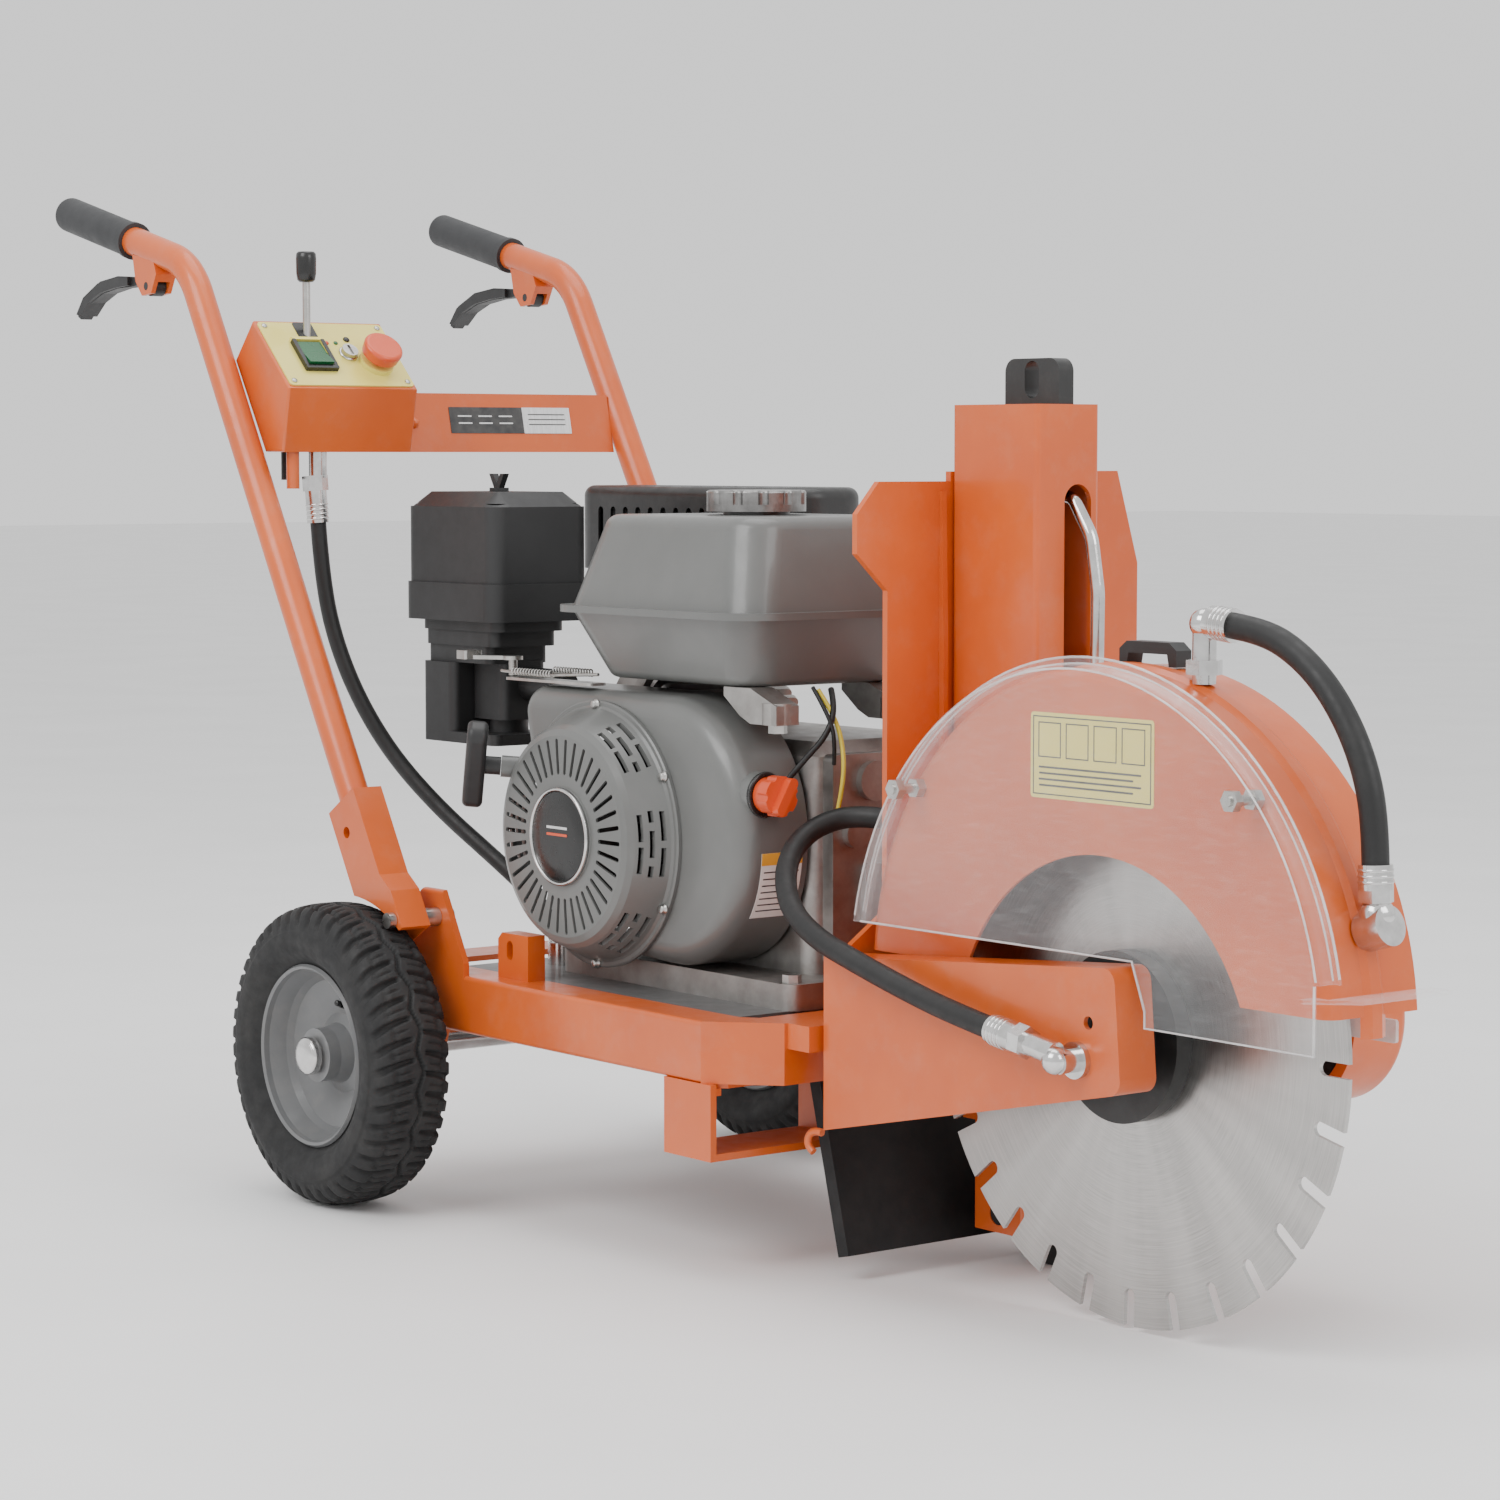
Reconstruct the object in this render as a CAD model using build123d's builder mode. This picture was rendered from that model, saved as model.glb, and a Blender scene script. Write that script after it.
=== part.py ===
"""Walk-behind petrol floor saw: a welded chassis on two rear wheels, a petrol
engine with its crankshaft across the machine, V-belts to the blade arbor, a
half-round blade guard with a clear outer cover, and a hydraulic column that
carries the front support wheels.

Axes: +X forward (towards the blade), +Y to the machine's left, +Z up.
The origin lies on the ground, under the middle of the machine's bounding box.
Stations along the machine are quoted from the rear axle; sx() turns such a
station into a model X.
"""
from build123d import *
import math
import os

os.makedirs("parts", exist_ok=True)

# ------------------------------------------------------------------ sizes (mm)
X_CENTRE = 268.49         # station of the model's origin, ahead of the rear axle
TRACK_Y = 250.0           # rear wheel mid-plane
WHEEL_R = 135.0           # rear tyre radius
AXLE_R = 10.0
FIT = 0.06                # radial running clearance of shafts in bores

RAIL_X0, RAIL_X1 = -45.0, 457.0
RAIL_Y = 190.0            # outer face of the side rails
RAIL_Z0, RAIL_Z1 = 160.0, 211.0
FRONT_X = 507.0           # front face of the front crossmember

BULK_X = 541.0            # front face of the bulkhead
BLADE_X, BLADE_Z = 807.0, 228.0
BLADE_R = 225.0
BLADE_Y0, BLADE_Y1 = -43.8, -40.4      # outer and inner face of the blade
SLOTS = 28
SLOT_PHASE = 0.0          # degrees

GUARD_X, GUARD_Z = 803.0, 256.0
GUARD_R = 254.0
GUARD_Y0, GUARD_Y1 = -91.0, 0.0
COVER_X, COVER_Z, COVER_R = 811.0, 254.0, 260.0

CRANK_X, CRANK_Z = 226.0, 342.0
DRIVE_R, DRIVEN_R = 45.0, 57.0         # pulley radii
HANDLE_Y = 221.0
TUBE_R = 14.0

POST_X, POST_Y = 593.0, 38.0           # lift column axis
CASTER_R = 50.0                        # front support wheel radius
LIFT = 75.0                            # stroke of the front column


def sx(x):
    """Station ahead of the rear axle -> model X."""
    return x - X_CENTRE


def side(y):
    """Lengthwise vertical plane at lateral position y; extrudes towards -Y."""
    return Plane.XZ.offset(-y)


def pts(*stations):
    """Side-view points given as (station, height)."""
    return [(sx(a), b) for a, b in stations]


# ------------------------------------------------------------------- chassis
# Side rail: pressed channel, open side inwards, with the upright foot plate
# that carries the handlebar socket and, on the right, the tie-down lug.
with BuildPart() as frame_rail_right:
    with BuildSketch(Plane.YZ.offset(sx(RAIL_X0))):
        with BuildLine():
            Polyline((-190, 160), (-190, 211), (-150, 211), (-150, 206),
                     (-185, 206), (-185, 165), (-150, 165), (-150, 160), close=True)
        make_face()
    extrude(amount=RAIL_X1 - RAIL_X0)
    with BuildSketch(side(-184)):
        with BuildLine():
            Polyline(*pts((14, 200), (112, 200), (112, 222), (78, 284), (46, 284), (14, 240)), close=True)
        make_face()
    extrude(amount=6)
    # axle hanger plate below the rail
    with BuildSketch(side(-150)):
        with BuildLine():
            Polyline(*pts((-34, 160), (-16, 116), (16, 116), (34, 160)), close=True)
        make_face()
    extrude(amount=14)
    with Locations((sx(0), -157, 135)):
        Cylinder(AXLE_R + 0.02, 40, rotation=(90, 0, 0), mode=Mode.SUBTRACT)
    # tie-down lug on the top flange
    with BuildSketch(side(-150)):
        with BuildLine():
            Polyline(*pts((134, 211), (134, 245), (140, 251), (180, 251), (180, 211)), close=True)
        make_face()
    extrude(amount=18)
    with BuildSketch(side(-140)):
        with Locations((sx(152), 236)):
            SlotOverall(17, 9, rotation=90)
    extrude(amount=40, mode=Mode.SUBTRACT)
    with Locations((sx(70), -187, 260)):
        Cylinder(5.2, 20, rotation=(90, 0, 0), mode=Mode.SUBTRACT)
    fillet(frame_rail_right.edges().filter_by(Axis.X).group_by(Axis.Y)[0], 4)
frame_rail_right.part.label = "frame_rail_right"

with BuildPart() as frame_rail_left:
    with BuildSketch(Plane.YZ.offset(sx(RAIL_X0))):
        with BuildLine():
            Polyline((190, 160), (190, 211), (150, 211), (150, 206),
                     (185, 206), (185, 165), (150, 165), (150, 160), close=True)
        make_face()
    extrude(amount=RAIL_X1 - RAIL_X0)
    with BuildSketch(side(190)):
        with BuildLine():
            Polyline(*pts((14, 200), (112, 200), (112, 222), (78, 284), (46, 284), (14, 240)), close=True)
        make_face()
    extrude(amount=6)
    with BuildSketch(side(164)):
        with BuildLine():
            Polyline(*pts((-34, 160), (-16, 116), (16, 116), (34, 160)), close=True)
        make_face()
    extrude(amount=14)
    with Locations((sx(0), 157, 135)):
        Cylinder(AXLE_R + 0.02, 40, rotation=(90, 0, 0), mode=Mode.SUBTRACT)
    with Locations((sx(70), 187, 260)):
        Cylinder(5.2, 20, rotation=(90, 0, 0), mode=Mode.SUBTRACT)
    fillet(frame_rail_left.edges().filter_by(Axis.X).group_by(Axis.Y)[-1], 4)
frame_rail_left.part.label = "frame_rail_left"

# Front crossmember with chamfered corners, the rear crossmember, and the two
# open U-shaped stands under the front corners.
with BuildPart() as crossmembers:
    with BuildSketch(Plane.XY.offset(RAIL_Z0)):
        with BuildLine():
            Polyline((sx(457), -190), (sx(507), -143), (sx(507), 143), (sx(457), 190),
                     (sx(457), 150), (sx(470), 140), (sx(470), -140), (sx(457), -150), close=True)
        make_face()
    extrude(amount=RAIL_Z1 - RAIL_Z0)
    with BuildSketch(Plane.XY.offset(RAIL_Z0 + 5)):
        with BuildLine():
            Polyline((sx(457), -185), (sx(501), -141), (sx(501), 141), (sx(457), 185),
                     (sx(457), 150), (sx(470), 140), (sx(470), -140), (sx(457), -150), close=True)
        make_face()
    extrude(amount=RAIL_Z1 - RAIL_Z0 - 10, mode=Mode.SUBTRACT)
    with BuildSketch(Plane.XY.offset(RAIL_Z0)):
        with Locations((sx(RAIL_X0 + 25), 0)):
            Rectangle(50, 299.4)
    extrude(amount=RAIL_Z1 - RAIL_Z0)
    with BuildSketch(Plane.XY.offset(RAIL_Z0 + 5)):
        with Locations((sx(RAIL_X0 + 28), 0)):
            Rectangle(56, 299.4)
    extrude(amount=RAIL_Z1 - RAIL_Z0 - 10, mode=Mode.SUBTRACT)
    for s in (-1, 1):
        with BuildSketch(Plane.YZ.offset(sx(407))):
            with BuildLine():
                Polyline((s * 190, 160), (s * 190, 97), (s * 42, 97), (s * 42, 160), (s * 48, 160),
                         (s * 48, 103), (s * 184, 103), (s * 184, 160), close=True)
            make_face()
        extrude(amount=63)
        # the stand's inner leg reaches the crossmember through a tie plate
        with BuildSketch(Plane.YZ.offset(sx(464))):
            with BuildLine():
                Polyline((s * 42, 150), (s * 42, 170), (s * 48, 170), (s * 48, 150), close=True)
            make_face()
        extrude(amount=12)
    # a corner plate under the chamfer ties the outer leg to the crossmember
    for s in (-1, 1):
        with BuildSketch(Plane.XY.offset(156)):
            with BuildLine():
                Polyline((sx(457.2), s * 184), (sx(470), s * 172), (sx(470), s * 140), (sx(457.2), s * 140), close=True)
            make_face()
        extrude(amount=4)
        with BuildSketch(Plane.YZ.offset(sx(460))):
            with BuildLine():
                Polyline((s * 176, 156), (s * 186, 156), (s * 186, 150), (s * 176, 150), close=True)
            make_face()
        extrude(amount=6)
crossmembers.part.label = "crossmembers"

with BuildPart() as deck_plate:
    with BuildSketch(Plane.XY.offset(205)):
        with Locations((sx(256), 0)):
            Rectangle(401, 299.2)
        with Locations((sx(290), 60)):
            SlotOverall(120, 40, mode=Mode.SUBTRACT)
    extrude(amount=6)
deck_plate.part.label = "deck_plate"

# --------------------------------------------------------- rear axle + wheels
with BuildPart() as rear_axle:
    with Locations((sx(0), 0, 135)):
        Cylinder(AXLE_R, 556, rotation=(90, 0, 0))
    for s in (-1, 1):
        with Locations((sx(0), s * 282, 135)):
            Cylinder(17, 8, rotation=(90, 0, 0))
        with Locations((sx(0), s * 276.4, 135)):
            Cylinder(13, 3.4, rotation=(90, 0, 0))
        with Locations((sx(0), s * 206.5, 135)):
            Cylinder(14, 3.0, rotation=(90, 0, 0))
    chamfer(rear_axle.edges().filter_by(GeomType.CIRCLE).group_by(Axis.Y)[0], 2.5)
    chamfer(rear_axle.edges().filter_by(GeomType.CIRCLE).group_by(Axis.Y)[-1], 2.5)
rear_axle.part.label = "rear_axle"

WHEEL_AXIS = Axis((sx(0), 0, 135), (0, 1, 0))

# Tyre section: (lateral, radius), squarish shoulders, two ring grooves.
TYRE = [(-283.5, 87), (-287, 92), (-290, 104), (-289, 114), (-284, 124), (-276, 131.5), (-264, 134.2),
        (-259, 134.6), (-258, 129), (-254, 129), (-253, 134.9), (-247, 135),
        (-246, 129), (-242, 129), (-241, 134.6), (-236, 134.2), (-224, 131.5), (-216, 124),
        (-211, 114), (-210, 104), (-213, 92), (-216.5, 87), (-220.6, 84), (-222.4, 79.4), (-277.6, 79.4),
        (-279.4, 84)]
with BuildPart() as rear_tyre_right:
    with BuildSketch(Plane.YZ.offset(sx(0))):
        with BuildLine():
            Polyline(*[(a, 135 + r) for a, r in TYRE], close=True)
        make_face()
    revolve(axis=WHEEL_AXIS)
rear_tyre_right.part.label = "rear_tyre_right"

# Rim: rolled flanges, well, deep dished disc with a hub boss.
RIM = [(-279.6, 82), (-282.6, 80), (-281, 77.5), (-276, 76.6), (-262, 70), (-256, 66), (-251, 50),
       (-246, 36), (-250, 27), (-262, 24), (-274, 24), (-274.5, 15), (-274.5, AXLE_R + FIT),
       (-209, AXLE_R + FIT), (-209, 24), (-236, 24), (-238, 36), (-243, 50), (-247, 62),
       (-240, 66), (-226, 76.6), (-219, 77.5), (-217.4, 80), (-220.4, 82), (-222, 79.1), (-278, 79.1)]
with BuildPart() as rear_rim_right:
    with BuildSketch(Plane.YZ.offset(sx(0))):
        with BuildLine():
            Polyline(*[(a, 135 + r) for a, r in RIM], close=True)
        make_face()
    revolve(axis=WHEEL_AXIS)
rear_rim_right.part.label = "rear_rim_right"

with BuildPart() as rear_tyre_left:
    mirror(rear_tyre_right.part, about=Plane.XZ)
rear_tyre_left.part.label = "rear_tyre_left"

with BuildPart() as rear_rim_left:
    mirror(rear_rim_right.part, about=Plane.XZ)
rear_rim_left.part.label = "rear_rim_left"

# -------------------------------------------------------------- handlebar
# One bar per side: rectangular lower socket, bent tube, clevis for the lever.
BAR_LOW = (33.0, 279.0)
BAR_BEND = (-300.5, 849.5)
BAR_END = (-533.0, 907.0)
_dx, _dz = BAR_LOW[0] - BAR_BEND[0], BAR_BEND[1] - BAR_LOW[1]
_n = math.hypot(_dx, _dz)
BAR_DIR = (_dx / _n, -_dz / _n)           # down the bar
BAR_NRM = (-BAR_DIR[1], BAR_DIR[0])       # towards the front of the machine


def along(s, t=0.0, base=(-15.0, 359.0)):
    """Point s mm down the bar from the socket's mouth and t mm forward of it."""
    return (sx(base[0] + BAR_DIR[0] * s + BAR_NRM[0] * t), base[1] + BAR_DIR[1] * s + BAR_NRM[1] * t)


with BuildPart() as right_handle_tube:
    with BuildLine(side(-HANDLE_Y)) as bar_r:
        FilletPolyline(*pts(BAR_LOW, BAR_BEND, BAR_END), radius=75)
    with BuildSketch(Plane(origin=bar_r.line @ 0, z_dir=bar_r.line % 0)):
        Circle(TUBE_R)
        Circle(TUBE_R - 2.6, mode=Mode.SUBTRACT)
    sweep()
    with BuildSketch(side(-HANDLE_Y + 15)):
        with BuildLine():
            Polyline(along(0, -24), along(-2, 24), along(84, 24), along(104, 33), along(140, 33), along(140, -24), close=True)
        make_face()
    extrude(amount=30)
    with BuildSketch(side(-HANDLE_Y + 11.5)):
        with BuildLine():
            Polyline(along(96, -20.5), along(96, 20.5), along(150, 20.5), along(150, -20.5), close=True)
        make_face()
    extrude(amount=23, mode=Mode.SUBTRACT)
    with Locations((along(28, -6)[0], -236, along(28, -6)[1])):
        Cylinder(5.2, 24, rotation=(90, 0, 0), mode=Mode.SUBTRACT)
    # the socket's outer part stops above the tyre
    with Locations((sx(0), -232, 135)):
        Cylinder(141, 49, rotation=(90, 0, 0), mode=Mode.SUBTRACT)
    with Locations((sx(70), -221, 260)):
        Cylinder(5.2, 60, rotation=(90, 0, 0), mode=Mode.SUBTRACT)
    # lever clevis under the grip's front end
    with BuildSketch(side(-HANDLE_Y + 11)):
        with BuildLine():
            Polyline(*pts((-392, 862), (-352, 856), (-346, 842), (-356, 824), (-374, 822), (-386, 836)), close=True)
        make_face()
    extrude(amount=22)
    with BuildSketch(side(-HANDLE_Y + 6.5)):
        with BuildLine():
            Polyline(*pts((-400, 848), (-352, 842), (-344, 810), (-400, 810)), close=True)
        make_face()
    extrude(amount=13, mode=Mode.SUBTRACT)
    with Locations((sx(-366), -221, 831)):
        Cylinder(4.0, 24, rotation=(90, 0, 0), mode=Mode.SUBTRACT)
right_handle_tube.part.label = "right_handle_tube"

with BuildPart() as left_handle_tube:
    mirror(right_handle_tube.part, about=Plane.XZ)
left_handle_tube.part.label = "left_handle_tube"

with BuildPart() as crossbar:
    with BuildSketch(side(207)):
        with BuildLine():
            Polyline(*pts((-206, 672), (-219, 729), (-223, 729), (-211, 676), (-228, 676), (-228, 672)), close=True)
        make_face()
    extrude(amount=207 + 64.7)
crossbar.part.label = "crossbar"

# Rubber grips: closed sleeves over the tube ends.
GRIP_DIR = (-0.9707, 0.2401)
with BuildPart() as handle_grips:
    for y in (-HANDLE_Y, HANDLE_Y):
        with BuildSketch(Plane(origin=(sx(-406.0), y, 875.64), z_dir=(GRIP_DIR[0], 0, GRIP_DIR[1]))):
            Circle(17)
        extrude(amount=137)
        with BuildSketch(Plane(origin=(sx(-406.0), y, 875.64), z_dir=(GRIP_DIR[0], 0, GRIP_DIR[1]))):
            Circle(18.2)
        extrude(amount=7)
        with BuildSketch(Plane(origin=(sx(-400.0), y, 874.15), z_dir=(GRIP_DIR[0], 0, GRIP_DIR[1]))):
            Circle(TUBE_R + 0.1)
        extrude(amount=138.5, mode=Mode.SUBTRACT)
    fillet(handle_grips.edges().filter_by(GeomType.CIRCLE).group_by(Axis.X)[0], 5)
handle_grips.part.label = "handle_grips"

# Squeeze levers: pivot eye, flat arm along the grip, down-turned tip.
with BuildPart() as right_hand_lever:
    with BuildSketch(side(-HANDLE_Y + 6)):
        with BuildLine():
            Polyline(*pts((-372, 838), (-398, 832), (-430, 831), (-460, 827), (-486, 818), (-506, 803),
                          (-512, 806), (-497, 826), (-466, 839), (-430, 843), (-398, 841), (-372, 841.5)), close=True)
        make_face()
        with Locations((sx(-366), 831)):
            Circle(9.5)
    extrude(amount=12)
    with BuildSketch(side(-HANDLE_Y + 10)):
        with BuildLine():
            Polyline(*pts((-404, 833), (-430, 831.5), (-460, 827.5), (-484, 819), (-502, 806),
                          (-508, 808), (-494, 824), (-464, 837), (-430, 841), (-404, 841)), close=True)
        make_face()
    extrude(amount=20)
    with Locations((sx(-366), -221, 831)):
        Cylinder(3.94, 22, rotation=(90, 0, 0))
right_hand_lever.part.label = "right_hand_lever"

with BuildPart() as left_hand_lever:
    mirror(right_hand_lever.part, about=Plane.XZ)
left_hand_lever.part.label = "left_hand_lever"

# --------------------------------------------------------------- control box
BOX_Y0, BOX_Y1 = -206.8, -65.0
PANEL_LOW, PANEL_TOP = (-146.0, 731.0), (-211.0, 794.0)
_pl = math.hypot(65, 63)
PANEL_UP = (-65 / _pl, 0, 63 / _pl)
PANEL_N = (63 / _pl, 0, 65 / _pl)
PANEL_C = ((PANEL_LOW[0] + PANEL_TOP[0]) / 2, (PANEL_LOW[1] + PANEL_TOP[1]) / 2)
PANEL_PLANE = Plane(origin=(sx(PANEL_C[0]), (BOX_Y0 + BOX_Y1) / 2, PANEL_C[1]), x_dir=(0, 1, 0), z_dir=PANEL_N)
ROCKER_UV = (-26.0, -2.0)
KEY_UV = (13.0, 0.0)
STOP_UV = (38.0, -12.0)
LEVER_Y = -156.0

with BuildPart() as control_box:
    with BuildSketch(side(BOX_Y1)):
        with BuildLine():
            Polyline(*pts((-158, 672), (-146, 731), (-211, 794), (-243, 758), (-190, 672)), close=True)
        make_face()
    extrude(amount=BOX_Y1 - BOX_Y0)
    with BuildSketch(side(BOX_Y1 - 3)):
        with BuildLine():
            Polyline(*pts((-161, 672), (-149.2, 729.7), (-210.8, 789.7), (-239.2, 757.4), (-187, 672)), close=True)
        make_face()
    extrude(amount=BOX_Y1 - BOX_Y0 - 6, mode=Mode.SUBTRACT)
    fillet(control_box.faces().filter_by(Plane.XZ).sort_by(Axis.Y)[0].outer_wire().edges(), 2.5)
    fillet(control_box.faces().filter_by(Plane.XZ).sort_by(Axis.Y)[-1].outer_wire().edges(), 2.5)
    # cut-outs in the sloping top for the rocker, the key, the stop and the lever
    with BuildSketch(PANEL_PLANE.offset(-8)):
        with Locations(ROCKER_UV):
            Rectangle(27, 35)
        with Locations(KEY_UV):
            Circle(6.4)
        with Locations(STOP_UV):
            Circle(9.5)
        with Locations((LEVER_Y - (BOX_Y0 + BOX_Y1) / 2, 27)):
            Rectangle(13, 27)
    extrude(amount=16, mode=Mode.SUBTRACT)
    # gland hole and stub below
    with Locations((sx(-168), -163, 672)):
        Cylinder(9.2, 12, mode=Mode.SUBTRACT)
    with Locations((sx(-168), -190, 655)):
        Cylinder(6, 34)
control_box.part.label = "control_box"

with BuildPart() as panel_plate:
    with BuildSketch(PANEL_PLANE):
        RectangleRounded(136, 85, 4)
        with Locations(ROCKER_UV):
            Rectangle(27, 35, mode=Mode.SUBTRACT)
        with Locations(KEY_UV):
            Circle(6.4, mode=Mode.SUBTRACT)
        with Locations(STOP_UV):
            Circle(9.5, mode=Mode.SUBTRACT)
        with Locations((LEVER_Y - (BOX_Y0 + BOX_Y1) / 2, 27)):
            Rectangle(13, 27, mode=Mode.SUBTRACT)
    extrude(amount=1.6)
    with BuildSketch(PANEL_PLANE.offset(1.6)):
        with Locations(STOP_UV):
            Circle(17)
            Circle(9.5, mode=Mode.SUBTRACT)
    extrude(amount=5)
    with BuildSketch(PANEL_PLANE.offset(1.6)):
        with Locations(ROCKER_UV):
            Rectangle(33, 42)
            Rectangle(27, 35, mode=Mode.SUBTRACT)
    extrude(amount=4)
panel_plate.part.label = "panel_plate"

# Rocker: a shallow V seen from the side, on a cross pivot.
ROCKER_PLANE = Plane(origin=PANEL_PLANE.from_local_coords((ROCKER_UV[0] - 13.0, ROCKER_UV[1], 0)),
                     x_dir=PANEL_UP, z_dir=(0, 1, 0))
with BuildPart() as rocker_switch:
    with BuildSketch(Plane(origin=PANEL_PLANE.from_local_coords((ROCKER_UV[0] - 13.0, ROCKER_UV[1], 0)),
                           x_dir=PANEL_UP, z_dir=(0, 1, 0))):
        with BuildLine():
            Polyline((-15.6, -3), (-16.6, 9.0), (0, 5.2), (15.4, 4.2), (15.2, -3), (0, -7), close=True)
        make_face()
    extrude(amount=26)
rocker_switch.part.label = "rocker_switch"

with BuildPart() as e_stop_button:
    with BuildSketch(PANEL_PLANE.offset(-6)):
        with Locations(STOP_UV):
            Circle(9.44)
    extrude(amount=20)
    with BuildSketch(PANEL_PLANE.offset(13)):
        with Locations(STOP_UV):
            Circle(18)
    extrude(amount=12, taper=-8)
    fillet(e_stop_button.faces().sort_by(Axis.Z)[-1].edges(), 3.5)
e_stop_button.part.label = "e_stop_button"

with BuildPart() as key_switch:
    with BuildSketch(PANEL_PLANE.offset(-6)):
        with Locations(KEY_UV):
            Circle(6.34)
    extrude(amount=10)
    with BuildSketch(PANEL_PLANE.offset(4)):
        with Locations(KEY_UV):
            Circle(8)
            Rectangle(3, 12, mode=Mode.SUBTRACT)
    extrude(amount=4)
    with BuildSketch(PANEL_PLANE.offset(4)):
        with Locations(KEY_UV):
            Rectangle(3, 12)
    extrude(amount=2)
key_switch.part.label = "key_switch"

# Control lever: cross pin, rod and tapered knob.
LEVER_X, LEVER_Z = -197.0, 758.0
with BuildPart() as control_lever:
    with Locations((sx(LEVER_X), LEVER_Y, LEVER_Z)):
        Cylinder(5, 16, rotation=(90, 0, 0))
    with BuildSketch(Plane.XY.offset(LEVER_Z)):
        with Locations((sx(LEVER_X), LEVER_Y)):
            Circle(3.6)
    extrude(amount=76)
    with BuildSketch(Plane.XY.offset(832)):
        with Locations((sx(LEVER_X), LEVER_Y)):
            Circle(6.5)
    extrude(amount=27, taper=-6)
    fillet(control_lever.faces().sort_by(Axis.Z)[-1].edges(), 2.5)
control_lever.part.label = "control_lever"

# ------------------------------------------------------------------- hoses
# Free hoses: straight runs joined by tangent arcs.  Each radius is 0.45 of the
# shorter neighbouring run divided by the tangent of half the turn.
def radii(points):
    out = []
    v = [Vector(*p) for p in points]
    for i in range(1, len(v) - 1):
        a, b = v[i] - v[i - 1], v[i + 1] - v[i]
        turn = math.radians(a.get_angle(b))
        out.append(0.45 * min(a.length, b.length) / math.tan(turn / 2))
    return out


CONTROL_HOSE = [(-168, -163, 606), (-165, -161, 556), (-155, -155, 500), (-134, -142, 442),
                (-101, -124, 388), (-52, -103, 340), (6, -85, 301), (60, -75, 268), (90, -74, 240)]
ARM_HOSE = [(520, -26, 368), (480, -40, 374), (461, -76, 364), (470, -112, 340), (505, -140, 310),
            (552, -152, 288), (612, -153, 272), (668, -151, 257), (722, -150, 245), (768, -150, 238)]
GUARD_HOSE = [(914, -44, 544), (944, -44, 541), (978, -45, 527), (1009, -46, 504), (1034, -46, 472),
              (1049, -45, 437), (1054, -44, 404), (1055, -44, 380)]


def cord_points(route):
    return [(sx(a), b, c) for a, b, c in route]


for cord_name, route, dia in (("control_hose", CONTROL_HOSE, 15), ("arm_hose", ARM_HOSE, 18), ("guard_hose", GUARD_HOSE, 20)):
    runs = [round((Vector(*route[i + 1]) - Vector(*route[i])).length, 1) for i in range(len(route) - 1)]
    print(cord_name, "dia", dia, "runs", runs, "radii", [round(r, 1) for r in radii(route)])

with BuildPart() as control_hose:
    with BuildLine() as control_path:
        FilletPolyline(*cord_points(CONTROL_HOSE), radius=radii(CONTROL_HOSE))
    with BuildSketch(Plane(origin=control_path.line @ 0, z_dir=control_path.line % 0)):
        Circle(7.5)
    sweep()
control_hose.part.label = "control_hose"

with BuildPart() as arm_hose:
    with BuildLine() as arm_path:
        FilletPolyline(*cord_points(ARM_HOSE), radius=radii(ARM_HOSE))
    with BuildSketch(Plane(origin=arm_path.line @ 0, z_dir=arm_path.line % 0)):
        Circle(9)
    sweep()
arm_hose.part.label = "arm_hose"

with BuildPart() as guard_hose:
    with BuildLine() as guard_path:
        FilletPolyline(*cord_points(GUARD_HOSE), radius=radii(GUARD_HOSE))
    with BuildSketch(Plane(origin=guard_path.line @ 0, z_dir=guard_path.line % 0)):
        Circle(10)
    sweep()
guard_hose.part.label = "guard_hose"
for n, p, path, r in (("control_hose", control_hose, control_path, 7.5), ("arm_hose", arm_hose, arm_path, 9),
                      ("guard_hose", guard_hose, guard_path, 10)):
    length = sum(e.length for e in path.line.edges())
    print(n, "length", round(length, 1), "volume ratio", round(p.part.volume / (length * math.pi * r * r), 4))


def unit(a, b):
    v = Vector(*b) - Vector(*a)
    return (v.X / v.length, v.Y / v.length, v.Z / v.length)


# Hose unions: every hose end sits face to face on a ferrule with a hex nut;
# the rigid hydraulic pipe of the lift column is here too.
def end_plane(route, last):
    a, b = (route[-2], route[-1]) if last else (route[1], route[0])
    return Plane(origin=(sx(b[0]), b[1], b[2]), z_dir=unit(a, b))


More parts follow.
